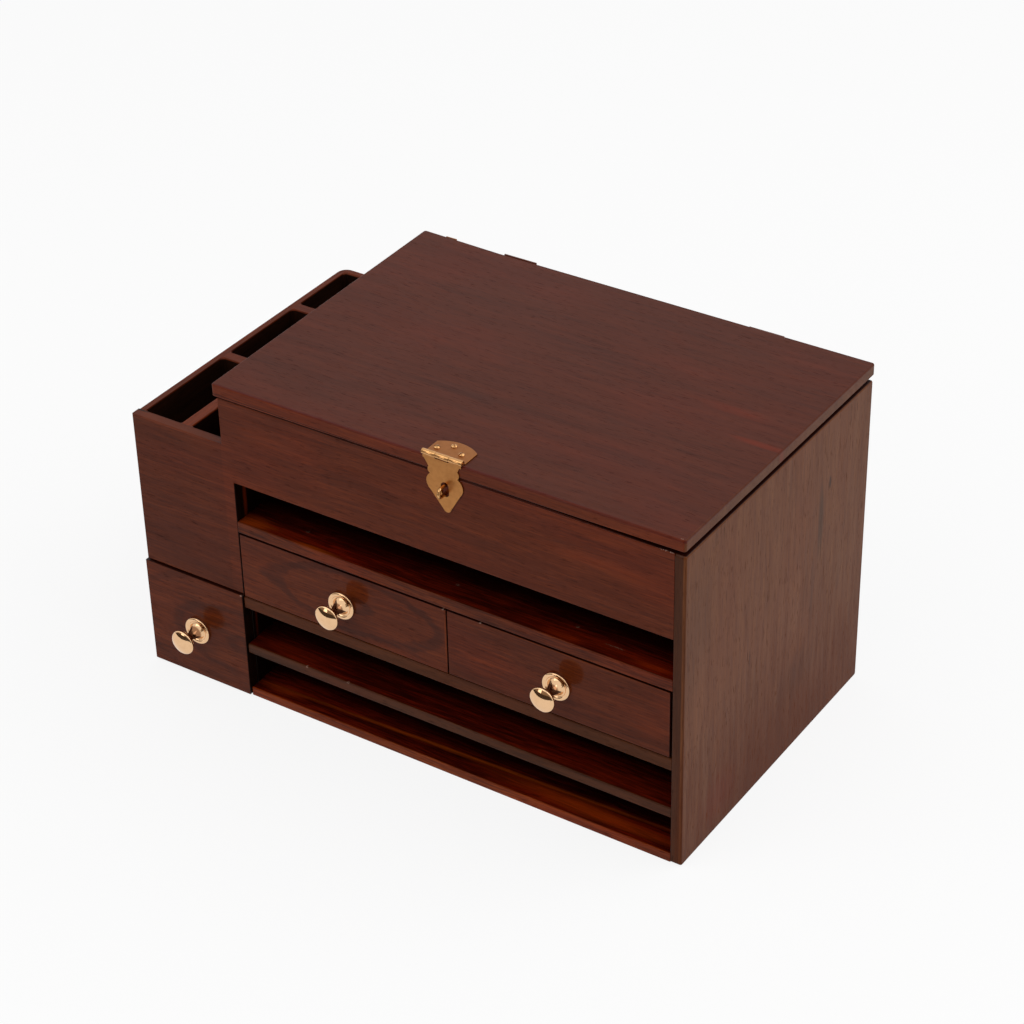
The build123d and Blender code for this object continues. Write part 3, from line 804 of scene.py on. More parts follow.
    def finish(
        self, material: bpy.types.Material, body: str, *nodes: str, crease: float = 32.0
    ) -> bpy.types.Object:
        """Closes the piece, puts it into the scene and lets it stand for its CAD nodes.

        Args:
            material: What it is dressed in.
            body: The body that it rides on.
            nodes: The CAD nodes that it stands for.
            crease: Edges that turn by more degrees than this stay sharp.

        Returns:
            The finished object, at the origin and unturned.
        """
        piece = self.mesh_object(material, crease)
        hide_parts(*nodes)
        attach(piece, body)
        LOG.info("%s: %s, stands for %s", piece.name, material.name, ", ".join(nodes))
        return piece

    def mesh_object(self, material: bpy.types.Material, crease: float = 32.0) -> bpy.types.Object:
        """Closes the mesh and links its object.

        Args:
            material: What it is dressed in.
            crease: Edges that turn by more degrees than this stay sharp.

        Returns:
            The object.
        """
        bmesh.ops.recalc_face_normals(self.mesh, faces=self.mesh.faces[:])
        for face in self.mesh.faces:
            face.smooth = face.calc_area() < face.calc_perimeter() * self.flat_from
        for edge in self.mesh.edges:
            if len(edge.link_faces) == 2 and edge.calc_face_angle() > math.radians(crease):
                edge.smooth = False
        self.mesh.verts.layers.int.remove(self.mesh.verts.layers.int["settled"])
        data = bpy.data.meshes.new(self.name)
        self.mesh.to_mesh(data)
        self.mesh.free()
        data.materials.append(material)
        return put_in_scene(self.name, data)


def put_in_scene(name: str, data: bpy.types.ID) -> bpy.types.Object:
    """Makes an object and links it to the scene.

    Args:
        name: The object's name.
        data: Its mesh, lamp or lens.

    Returns:
        The object, at the origin.
    """
    made = bpy.data.objects.new(name, data)
    bpy.context.scene.collection.objects.link(made)
    return made


def dress(node: str, material: bpy.types.Material) -> None:
    """Puts a material on every slot of a CAD node.

    Args:
        node: The node's name.
        material: What it is dressed in.
    """
    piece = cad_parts[node]
    if not piece.material_slots:
        piece.data.materials.append(material)
    for slot in piece.material_slots:
        slot.link = "OBJECT"
        slot.material = material
    LOG.info("%s: %s", node, material.name)


# ---------------------------------------------------------------------- sub-assemblies
BENDS_AT = (-0.13525, -0.0750, 0.0150, 0.0600, 0.1150, 0.20265)


def read_bend(heights: Sequence[float], x: float) -> float:
    """Reads a bend that runs straight between the places of BENDS_AT.

    Args:
        heights: The bend's height at each of these places.
        x: Where it is read.

    Returns:
        The height there.
    """
    table = list(zip(BENDS_AT, heights))
    for (start, first), (end, last) in zip(table, table[1:]):
        if x <= end:
            return first + (last - first) * max(0.0, (x - start) / (end - start))
    return heights[-1]


@dataclass
class Case:
    """The tall case: side boards, shelves, apron, back and the floor of the lidded compartment."""

    front: float
    right: float
    top: float
    annex_top: float
    annex_right: float
    board: float = 7.6 * MM
    easing: float = 0.5
    # Painted shade laid over each open shelf behind its front strip.
    recess_shade: Colour = (0.006, 0.0004, 0.0001)
    specks: Colour = (0.36, 0.22, 0.17)
    # amber and ember colour the painted glints on the shelves' front strips; amber also colours the
    # base board's long streak.
    amber: Colour = (0.27, 0.044, 0.002)
    ember: Colour = (0.20, 0.0150, 0.0008)
    crown: tuple[float, ...] = (0.0, 0.3 * MM, 0.9 * MM, 1.0 * MM, 0.9 * MM, 0.0)

    def build(self) -> None:
        """Dresses the case's boards, and planes a slight crown on the apron's upper edge."""
        for node, wood in self.shown().items():
            piece = Workpiece.copy_of(f"{node}_eased", node)
            if node == "front_board":
                self._crown(piece)
            piece.soften(self.easing)
            piece.finish(wood.build(), "case", node)
        for node, wood in self.hidden().items():
            dress(node, wood.build())

    def _crown(self, piece: Workpiece) -> None:
        """Raises the middle of a board's upper edge."""
        piece.cut_at(*BENDS_AT[1:-1])
        for vert in piece.mesh.verts:
            if vert.co.z > self.top - 0.05 * MM:
                vert.co.z += read_bend(self.crown, vert.co.x)

    def shown(self) -> dict[str, StainedWood]:
        """The boards whose edges show, by node."""
        return {
            "right_side_panel": self._right_side(),
            "left_side_panel": self._left_side(),
            "base_board": self._base(),
            "slot_shelf": self._slot_shelf(),
            "drawer_shelf": StainedWood(
                "drawer shelf lacquer", Grain.ACROSS_THE_FRONT, 5.2, EDGE_TONE.scaled(1.25),
                contrast=0.8, lacquer=0.11,
            ),
            "upper_shelf": self._upper_shelf(),
            "front_board": self._front_board(),
        }

    @staticmethod
    def hidden() -> dict[str, StainedWood]:
        """The boards inside the case and at its back, by node."""
        wide = Grain.ACROSS_THE_FRONT
        return {
            "compartment_floor": StainedWood("compartment floor stain", wide, 6.1, INNER_TONE),
            "back_panel": StainedWood("back board stain", wide, 8.8, INNER_TONE, lacquer=0.1),
            "drawer_divider": StainedWood("divider stain", Grain.FRONT_TO_BACK, 0.9, EDGE_TONE),
        }

    def _right_side(self) -> StainedWood:
        """The right side board's finish: its outer face painted lighter than its edges, painted shade
        on its top edge under the lid and in a darker line down its front arris, dark streaks, and
        painted shade towards its foot, which is darker, redder and duller there.
        """
        face = 0, self.right - 0.25 * MM, 0.01
        return StainedWood(
            "right side lacquer", Grain.UPRIGHT, 3.1, EDGE_TONE,
            faces=(
                # Painted light on the outer face, painted shade on the top edge under the lid.
                Face(0, self.right, SIDE_TONE, 2.2 * MM),
                Face(2, self.top, GAP_SHADE_TONE, 0.3 * MM),
            ),
            patches=(
                *on_face(
                    *face,
                    (0.0520, 0.1560, 0.0045, 0.036, (0.050, 0.0180, 0.0060), 0.75, 0.8, 0.9),
                    (0.0440, 0.1120, 0.0022, 0.034, (0.070, 0.0200, 0.0070), 0.55, 0.8, 0.6),
                    (0.0620, 0.1800, 0.0016, 0.006, (0.030, 0.0100, 0.0040), 0.85, 0.6, 0.3),
                    (-0.0354, 0.1070, 0.0006, 0.009, (0.040, 0.0120, 0.0050), 0.8, 0.7, 0.2),
                    (-0.1000, 0.1650, 0.0220, 0.070, (0.085, 0.0260, 0.0080), 0.45, 0.9, 1.2),
                ),
                # Painted shade towards the foot: darker and redder, with duller lacquer.
                Patch((face[1], 0.0, -0.0100), (0.01, 0.2600, 0.135), (0.090, 0.0180, 0.0030),
                      0.95, 0.95, 0.6, dulls=0.88),
                # Painted shade: a darker line down the front arris.
                Patch((self.right - 0.05 * MM, self.front, 0.1130), (0.0008, 0.0010, 0.20),
                      (0.056, 0.0130, 0.0040), 0.75, 0.6, 0.2),
                # Redder patches low on the face, part of the painted shade towards the foot.
                *on_face(
                    *face,
                    (-0.0700, 0.0240, 0.0300, 0.026, (0.120, 0.0180, 0.0030), 0.55, 0.9, 1.0),
                    (0.0300, 0.0560, 0.0340, 0.022, (0.072, 0.0170, 0.0036), 0.5, 0.9, 1.0),
                ),
            ),
            contrast=0.6, band=(0.190, 0.011, 0.011), streaks=0.2, blotch=0.15,
            lacquer_roughness=0.2, figure=0.4,
        )

    def _left_side(self) -> StainedWood:
        """The left side board's finish, with painted shade where it faces the case's inside and on its
        top edge under the lid, and painted glints of light near the front of its inner face.
        """
        return StainedWood(
            "left side lacquer", Grain.UPRIGHT, 7.7, contrast=0.8,
            faces=(
                # Painted shade on the inner face and on the top edge under the lid.
                Face(0, self.annex_right + self.board, CELL_SHADE_TONE.scaled(0.4), 1.5 * MM),
                Face(2, self.top, GAP_SHADE_TONE, 0.3 * MM),
            ),
            # Orange patches near the front of the inner face: painted glints of light at the openings.
            patches=on_face(
                0, -0.1236, 0.002,
                (-0.1050, 0.1500, 0.0024, 0.030, (0.20, 0.022, 0.001), 0.6, 0.9, 0.5),
                (-0.1040, 0.0550, 0.0020, 0.030, (0.12, 0.012, 0.001), 0.5, 0.9, 0.5),
            ),
        )

    def _open_shelf(
        self, name: str, seed: float, level: float, edge: Tone, *patches: Patch
    ) -> StainedWood:
        """An open shelf's finish, with painted shade over all but its front strip.

        Args:
            name: The finish's name.
            seed: Which stretch of grain it has.
            level: The shelf's upper face.
            edge: The front edge's tone.
            patches: What else stands out on it.

        Returns:
            The finish.
        """
        # Painted shade: the shelf is darkened behind its front strip.
        depth = Patch((0.0, 0.0, level), (2.0, 0.1040, 0.2), self.recess_shade, 0.94, 0.20, 0.04)
        return StainedWood(
            name, Grain.ACROSS_THE_FRONT, seed, SHELF_TONE, faces=(Face(1, self.front, edge),),
            patches=(depth, *patches), contrast=1.5, lacquer_roughness=0.05, blotch=0.9,
        )

    def _base(self) -> StainedWood:
        """The base board's finish, with its long amber glow and painted glints of light on its front
        strip.
        """
        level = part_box("base_board")[1][2]
        return self._open_shelf(
            "base board lacquer", 1.3, level, BASE_EDGE_TONE,
            Patch((0.0500, -0.0998, level), (0.26, 0.0024, 0.004), self.amber,
                  0.70, 0.9, 0.9, lean=0.0335),
            # Painted glints of light on the front strip.
            *on_face(
                2, level, 0.004,
                (-0.1040, -0.1060, 0.026, 0.0060, (0.23, 0.026, 0.002), 0.55, 0.9, 0.8),
                (0.1300, -0.1050, 0.090, 0.0090, (0.26, 0.030, 0.002), 0.85, 0.9, 1.0),
            ),
        )

    def _slot_shelf(self) -> StainedWood:
        """The slot shelf's finish, with painted glints of light on its front strip and two chips on
        its front arris.
        """
        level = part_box("slot_shelf")[1][2]
        return self._open_shelf(
            "slot shelf lacquer", 2.6, level, EDGE_TONE,
            # Painted glints of light on the front strip.
            *on_face(
                2, level, 0.004,
                (0.1600, -0.1050, 0.050, 0.0080, self.ember, 0.2, 0.9, 1.2),
                (-0.0900, -0.1060, 0.040, 0.0090, self.ember, 0.35, 0.9, 1.2),
            ),
            Patch.chip((-0.0760, self.front, 0.0416), (0.0012, 0.002, 0.0012), self.specks, 0.5),
            Patch.chip((-0.0433, self.front, 0.0418), (0.0012, 0.002, 0.0010), self.specks, 0.5),
        )

    def _upper_shelf(self) -> StainedWood:
        """Finishes the upper shelf.

        Returns:
            The finish, with painted glints of light on its front strip and rubbed specks.
        """
        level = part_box("upper_shelf")[1][2]
        grey = (0.16, 0.12, 0.09)
        pale = (0.20, 0.14, 0.10)
        rubbed = 0.5, 0.3, True
        return self._open_shelf(
            "upper shelf lacquer", 4.4, level, FRONT_TONE.scaled(0.84),
            # The orange rows are painted glints of light; the grey and pale rows are rubbed specks.
            *on_face(
                2, level, 0.004,
                (-0.1150, -0.1095, 0.026, 0.0080, (0.24, 0.034, 0.0015), 0.75, 0.9, 1.8),
                (-0.0640, -0.1130, 0.024, 0.0026, self.amber, 0.6, 0.9, 0.8),
                (-0.0900, -0.1080, 0.050, 0.0080, self.ember, 0.15, 0.9, 1.2),
                (0.1500, -0.1060, 0.080, 0.0080, self.ember, 0.25, 0.9, 1.5),
                (0.0346, -0.0991, 0.0022, 0.0016, grey, 0.35, *rubbed),
                (0.1202, -0.0978, 0.0016, 0.0012, pale, 0.5, *rubbed),
                (0.1180, -0.1098, 0.0220, 0.0040, (0.24, 0.020, 0.001), 0.45, 0.9, 1.4),
                (0.1800, -0.1090, 0.0200, 0.0045, (0.27, 0.022, 0.001), 0.55, 0.9, 1.2),
                (0.1500, -0.1035, 0.0090, 0.0010, pale, 0.4, *rubbed),
                (-0.0786, -0.1003, 0.0020, 0.0016, grey, 0.35, *rubbed),
            ),
        )

    def _front_board(self) -> StainedWood:
        """Finishes the board that is both the annex's front and the apron.

        Returns:
            The finish, whose low part is darker, with its top face there painted lighter, painted
            shade on its faces towards the cells and the openings, and painted shade on its upper edge
            behind its arris, under the lid.
        """
        low_part = (0, self.annex_right - 0.2, self.annex_right)
        behind_front = (1, self.front + 0.1 * MM, 0.0)
        above_drawer = (2, 0.0500, 0.1659)
        return StainedWood(
            "front board lacquer", Grain.ACROSS_THE_FRONT, 9.5, contrast=0.65,
            faces=(
                Face(1, self.front, FRONT_TONE.scaled(0.88), 4.0 * MM, low_part),
                # Painted light on the annex's top face; painted shade towards the cells, towards the
                # openings and under the lid.
                Face(2, self.annex_top, TOP_TONE.scaled(1.12), 1.1 * MM, low_part),
                Face(1, self.front + 7.0 * MM, CELL_SHADE_TONE, 1.5 * MM, low_part),
                Face(0, self.annex_right + self.board, CELL_SHADE_TONE.scaled(0.5), 0.3 * MM, above_drawer),
                Face(2, self.top + 0.5 * MM, GAP_SHADE_TONE, 0.9 * MM, behind_front),
            ),
            patches=(
                *on_face(
                    1, self.front, 0.01,
                    (0.1450, 0.2020, 0.060, 0.0070, (0.155, 0.0230, 0.0035), 0.55, 0.9, 1.2),
                    (0.1500, 0.2195, 0.032, 0.0045, (0.165, 0.0270, 0.0040), 0.45, 0.9, 1.0),
                    (-0.0950, 0.2080, 0.045, 0.0080, (0.150, 0.0230, 0.0030), 0.50, 0.9, 1.4),
                    (-0.1500, 0.1850, 0.020, 0.0090, (0.120, 0.0200, 0.0022), 0.40, 0.9, 1.0),
                    (-0.1650, 0.1370, 0.050, 0.0030, (0.060, 0.0100, 0.0020), 0.5, 0.9, 1.2),
                ),
                Patch.chip((0.1900, -0.1140, 0.2262), (0.0070, 0.0010, 0.0005), self.specks, 0.6, 0.6),
                Patch((-0.1675, -0.1110, self.annex_top), (0.0370, 0.01, 0.0014),
                      (0.130, 0.0290, 0.0120), 0.8, 0.3, 0.4, dulls=0.5),
            ),
        )


@dataclass
class Annex:
    """The low annex: outer boards, floors and the dividers of the pen cells."""

    top: float
    left: float
    back: float
    skin: float = 4.0 * MM
    shortest: float = 12.0 * MM
    rim_easing: float = 1.3
    rim_strips: int = 4
    cove: float = 3.2 * MM
    cove_root: float = 1.5 * MM
    cove_drop: float = 0.03 * MM
    cove_steps: int = 8

    def build(self) -> None:
        """Dresses the annex's boards and rounds its cells."""
        for node, wood in self.shown().items():
            piece = Workpiece.copy_of(f"{node}_eased", node)
            piece.soften(self.rim_easing, self.rim_strips, only=self._on_inner_rim)
            piece.finish(wood.build(), "case", node)
        for node, wood in self.hidden().items():
            dress(node, wood.build())
        self._coves()

    def _on_inner_rim(self, edge: bmesh.types.BMEdge) -> bool:
        """Says whether an edge lies along a cell's mouth.

        Args:
            edge: An edge of one of the annex's boards.

        Returns:
            True for a long edge on the rim's inner side.
        """
        level = all(abs(vert.co.z - self.top) < 0.05 * MM for vert in edge.verts)
        middle = (edge.verts[0].co + edge.verts[1].co) / 2
        inside = middle.x > self.left + self.skin and middle.y < self.back - self.skin
        long_enough = edge.calc_length() > self.shortest
        return level and inside and long_enough

    def _cells(self) -> list[tuple[float, float, float, float]]:
        """Reads where the four cells' walls stand.

        Returns:
            The left, right, front and back wall of each cell.
        """
        side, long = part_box("annex_side_panel"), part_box("long_cell_divider")
        first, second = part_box("front_cell_divider"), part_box("rear_cell_divider")
        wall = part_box("annex_back_panel")
        left, right, mouth = side[1][0], first[1][0], long[0][1]
        return [
            (left, long[0][0], mouth, first[0][1]),
            (long[1][0], right, mouth, first[0][1]),
            (left, right, first[1][1], second[0][1]),
            (left, right, second[1][1], wall[0][1]),
        ]

    def _coves(self) -> None:
        """Rounds the cells' upright corners, which the stain has filled."""
        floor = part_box("annex_floor")[1][2]
        piece = Workpiece("pen_cell_coves")
        for left, right, front, back in self._cells():
            for x, toward_x in ((left, 1.0), (right, -1.0)):
                for y, toward_y in ((front, 1.0), (back, -1.0)):
                    self._cove(piece, (x, y, floor), (toward_x, toward_y))
        # The coves carry painted shade, under the lighter rim tone.
        wood = StainedWood("cove lacquer", Grain.UPRIGHT, 19.4, CELL_SHADE_TONE, faces=(self._rim(),))
        piece.finish(wood.build(), "case")

    def _cove(self, piece: Workpiece, corner: Point, toward: Spot) -> None:
        """Fills one upright corner with a hollow quarter round.

        Args:
            piece: The piece that it joins.
            corner: The corner's foot.
            toward: Which way the cell lies from it along X and Y, as signs.
        """
        root, radius = -self.cove_root, self.cove
        path = [(root, radius), (root, root), (radius, root)]
        for step in range(self.cove_steps + 1):
            turn = math.radians(90.0 * step / self.cove_steps)
            path.append((radius * (1.0 - math.sin(turn)), radius * (1.0 - math.cos(turn))))
        points = [
            piece.mesh.verts.new((corner[0] + x * toward[0], corner[1] + y * toward[1], corner[2]))
            for x, y in path
        ]
        foot = piece.mesh.faces.new(points)
        raised = bmesh.ops.extrude_face_region(piece.mesh, geom=[foot])["geom"]
        upper = [part for part in raised if isinstance(part, bmesh.types.BMVert)]
        for vert in upper:
            vert.co.z = self.top - self.cove_drop
        bmesh.ops.recalc_face_normals(piece.mesh, faces=piece.mesh.faces[:])
        near = Vector((corner[0], corner[1]))
        rounded = [
            edge
            for edge in piece.mesh.edges
            if all(vert in upper for vert in edge.verts)
            and all(
                (vert.co.xy - near).x * toward[0] > root * 0.5
                and (vert.co.xy - near).y * toward[1] > root * 0.5
                for vert in edge.verts
            )
        ]
        piece.bevel(rounded, self.rim_easing, self.rim_strips)
        piece.settle((0.0, 0.0, 0.0), (0.0, 0.0, 1.0))

    def _rim(self, paler_by: float = 1.45) -> Face:
        """The rim's own tone: the top tone, which is painted light, paler by a factor."""
        return Face(2, self.top, TOP_TONE.scaled(paler_by), 1.2 * MM)

    def shown(self) -> dict[str, StainedWood]:
        """Finishes the boards whose edges show, with painted shade on the cells' side and a rim
        painted lighter.

        Returns:
            Each board's finish, by node.
        """
        wide, deep = Grain.ACROSS_THE_FRONT, Grain.FRONT_TO_BACK
        inner_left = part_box("annex_side_panel")[1][0]
        inner_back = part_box("annex_back_panel")[0][1]
        # Painted shade on the cells' side, painted light on the rims.
        inner = {"tone": CELL_SHADE_TONE, "faces": (self._rim(),), "contrast": 0.8, "lacquer": 0.12}
        return {
            "annex_side_panel": StainedWood(
                "annex side lacquer", deep, 11.4,
                faces=(Face(0, inner_left, CELL_SHADE_TONE, 1.5 * MM), self._rim()), lacquer=0.10,
            ),
            "annex_back_panel": StainedWood(
                "annex back lacquer", wide, 13.5,
                faces=(Face(1, inner_back, CELL_SHADE_TONE, 1.5 * MM), self._rim()), lacquer=0.10,
            ),
            "front_cell_divider": StainedWood("front divider lacquer", wide, 16.3, **inner),
            "rear_cell_divider": StainedWood("rear divider lacquer", wide, 17.7, **inner),
            "long_cell_divider": StainedWood(
                "long divider lacquer", deep, 18.1, **{**inner, "faces": (self._rim(2.3),)}
            ),
        }

    @staticmethod
    def hidden() -> dict[str, StainedWood]:
        """The floors, by node."""
        deep = Grain.FRONT_TO_BACK
        return {
            "annex_base": StainedWood("annex base stain", deep, 14.2, INNER_TONE, lacquer=0.1),
            # The cell floor carries painted shade.
            "annex_floor": StainedWood("cell floor stain", deep, 15.9, CELL_SHADE_TONE, lacquer=0.05),
        }


@dataclass
class Knob:
    """One turned brass knob on its rosette, with its sizes in millimetres."""

    body: str
    node: str
    brass: bpy.types.Material
    steps: int = 96
    head: float = 8.7
    dome: float = 16.0
    rim_round: float = 1.5
    rim_from: float = 150.0
    rim_steps: int = 12
    dome_steps: int = 8

    def build(self) -> None:
        """Turns the knob over its CAD node."""
        low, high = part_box(self.node)
        centre = ((low[0] + high[0]) / 2, high[1], (low[2] + high[2]) / 2)
        rim, reach = (high[0] - low[0]) / 2 / MM, (high[1] - low[1]) / MM
        piece = Workpiece(f"{self.body}_brass_knob")
        piece.turn(self.outline(rim, reach), self.steps)
        piece.settle(centre, (0.0, -1.0, 0.0))
        piece.finish(self.brass, self.body, self.node)

    def outline(self, rim: float, reach: float) -> Profile:
        """Draws half of the knob's outline.

        Args:
            rim: The rosette's radius in millimetres.
            reach: How far the knob stands off, in millimetres.

        Returns:
            (radius, height) from the back's centre to the face's centre.
        """

        def curve(first: Spot, bulge: Spot, last: Spot, steps: int) -> list[Spot]:
            """Follows a quadratic curve.

            Args:
                first: Where it starts.
                bulge: The point that it leans towards.
                last: Where it ends.
                steps: How many points it gets.

            Returns:
                Its points, without the first.
            """
            points = []
            for step in range(1, steps + 1):
                t = step / steps
                a, b, c = (1 - t) ** 2, 2 * t * (1 - t), t * t
                points.append(tuple(a * f + b * m + c * l for f, m, l in zip(first, bulge, last)))
            return points

        path = [(0.0, 0.0), (rim - 0.2, 0.0), (rim, 0.25), (rim, 1.0)]
        for bulge, last, points in (
            ((rim, 2.15), (rim - 1.4, 2.2), 8),
            ((rim - 2.4, 2.15), (rim - 2.9, 1.35), 6),
            ((rim - 3.3, 1.0), (rim - 3.9, 1.35), 5),
            ((4.0, 3.6), (2.7, 8.0), 16),
            ((2.3, 9.4), (2.35, 10.6), 6),
            ((3.4, 10.7), (3.3, 11.4), 6),
            ((3.2, 12.0), (2.8, 12.1), 4),
        ):
            path += curve(path[-1], bulge, last, points)
        slope = math.asin((self.head - self.rim_round) / (self.dome - self.rim_round))
        middle = self.head - self.rim_round
        level = reach - self.dome + (self.dome - self.rim_round) * math.cos(slope)
        back = math.radians(self.rim_from)
        under = middle + self.rim_round * math.sin(back), level + self.rim_round * math.cos(back)
        path += curve(path[-1], (3.6, 13.2), (5.2, 13.4), 6)
        path += curve(path[-1], (7.2, 13.6), under, 6)
        for step in range(1, self.rim_steps + 1):
            turn = back + (slope - back) * step / self.rim_steps
            path.append(
                (middle + self.rim_round * math.sin(turn), level + self.rim_round * math.cos(turn))
            )
        for step in range(1, self.dome_steps + 1):
            turn = slope * (1.0 - step / self.dome_steps)
            path.append((self.dome * math.sin(turn), reach - self.dome * (1.0 - math.cos(turn))))
        path[-1] = (0.0, reach)
        return path


@dataclass
class Drawer:
    """One drawer: its front, box and knob."""

    body: str
    front: StainedWood
    box: bpy.types.Material
    brass: bpy.types.Material
    steel: bpy.types.Material
    reveals: tuple[float, float, float, float] = (0.20 * MM, 0.15 * MM, 0.30 * MM, 0.65 * MM)
    # Painted shade on the front's top and end faces, where they show in the gaps.
    end_tone: Tone = GAP_SHADE_TONE
    top_shade: float = 0.15 * MM
    end_shade: float = 0.15 * MM
    easing: float = 0.4

    def build(self) -> None:
        """Planes the front's reveals (left, right, below, above), dresses it and turns the knob."""
        node = f"{self.body}_front"
        low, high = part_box(node)
        left, right, below, above = self.reveals
        end, top = high[0] - right, high[2] - above
        piece = Workpiece.copy_of(f"{node}_eased", node)
        for vert in piece.mesh.verts:
            vert.co.x = min(max(vert.co.x, low[0] + left), end)
            vert.co.z = min(max(vert.co.z, low[2] + below), top)
        piece.soften(self.easing)
        # Painted shade on the faces that show in the gaps.
        gap_shade_faces = (
            Face(2, top, GAP_SHADE_TONE, self.top_shade), Face(0, end, self.end_tone, self.end_shade)
        )
        piece.finish(replace(self.front, faces=gap_shade_faces).build(), self.body, node)
        for part in ("left_side", "right_side", "back", "bottom"):
            dress(f"{self.body}_{part}", self.box)
        dress(f"{self.body}_knob_screw", self.steel)
        Knob(self.body, f"{self.body}_knob", self.brass).build()


def drawers(
    box: bpy.types.Material, brass: bpy.types.Material, steel: bpy.types.Material
) -> list[Drawer]:
    """The three drawers.

    Args:
        box: The plain wood of their boxes.
        brass: Their knobs' brass.
        steel: Their knob screws' steel.

    Returns:
        The two small drawers of the case and the tall one of the annex.
    """
    case_front, annex_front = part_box("left_drawer_front")[0][1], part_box("annex_drawer_front")[0][1]
    wide = Grain.ACROSS_THE_FRONT
    # White marks chips; the warm red-orange is a painted highlight along the lit arrises of the drawer
    # fronts.
    white, arris_glint = (0.34, 0.22, 0.17), (0.170, 0.0300, 0.0030)
    left = StainedWood(
        "left drawer lacquer", wide, 24.0, FRONT_TONE.scaled(0.94), contrast=0.75, streaks=0.15,
        rings=Rings((-0.0350, case_front, 0.1060), 0.34, 17.0 * MM, 0.16), lacquer_roughness=0.04,
        patches=(
            Patch((0.0352, case_front, 0.1050), (0.0010, 0.0006, 0.0260), arris_glint, 0.6, 0.6, 0.3),
            Patch.chip((0.0335, case_front, 0.1277), (0.0010, 0.003, 0.0006), white, 0.6, ragged=0.2),
        ),
    )
    right = StainedWood(
        "right drawer lacquer", wide, 25.0, FRONT_TONE.scaled(0.86), contrast=0.8,
        lacquer_roughness=0.04,
        patches=(
            Patch((0.1200, case_front, 0.1277), (0.0800, 0.0006, 0.0008), arris_glint, 0.4, 0.6, 0.4),
            Patch((0.1800, case_front, 0.0960), (0.0180, 0.01, 0.0100), (0.130, 0.0190, 0.0020),
                  0.45, 0.9, 1.0),
            Patch.chip((0.0610, case_front, 0.1278), (0.0010, 0.003, 0.0005), white, 0.6, ragged=0.2),
        ),
    )
    annex = StainedWood(
        "annex drawer lacquer", wide, 26.0, FRONT_TONE.scaled(0.94), contrast=0.8,
        rings=Rings((-0.1300, annex_front, 0.0400), 0.5, 20.0 * MM, 0.12), lacquer_roughness=0.04,
        patches=(
            Patch.chip((-0.1250, -0.1155, 0.0800), (0.0013, 0.004, 0.0007), white, 0.6, ragged=0.2),
            Patch((-0.1900, annex_front, 0.0400), (0.0160, 0.01, 0.0170), (0.120, 0.0190, 0.0020),
                  0.45, 0.9, 1.0),
        ),
    )
    shared = box, brass, steel
    return [
        Drawer("left_drawer", left, *shared),
        Drawer(
            "right_drawer", right, *shared,
            reveals=(0.15 * MM, 1.10 * MM, 0.30 * MM, 0.65 * MM),
        ),
        Drawer(
            "annex_drawer", annex, *shared,
            reveals=(0.30 * MM, 0.35 * MM, 0.30 * MM, 0.30 * MM),
            # Painted shade on its right end, in the gap.
            end_tone=CELL_SHADE_TONE.scaled(0.6), top_shade=0.25 * MM,
        ),
    ]


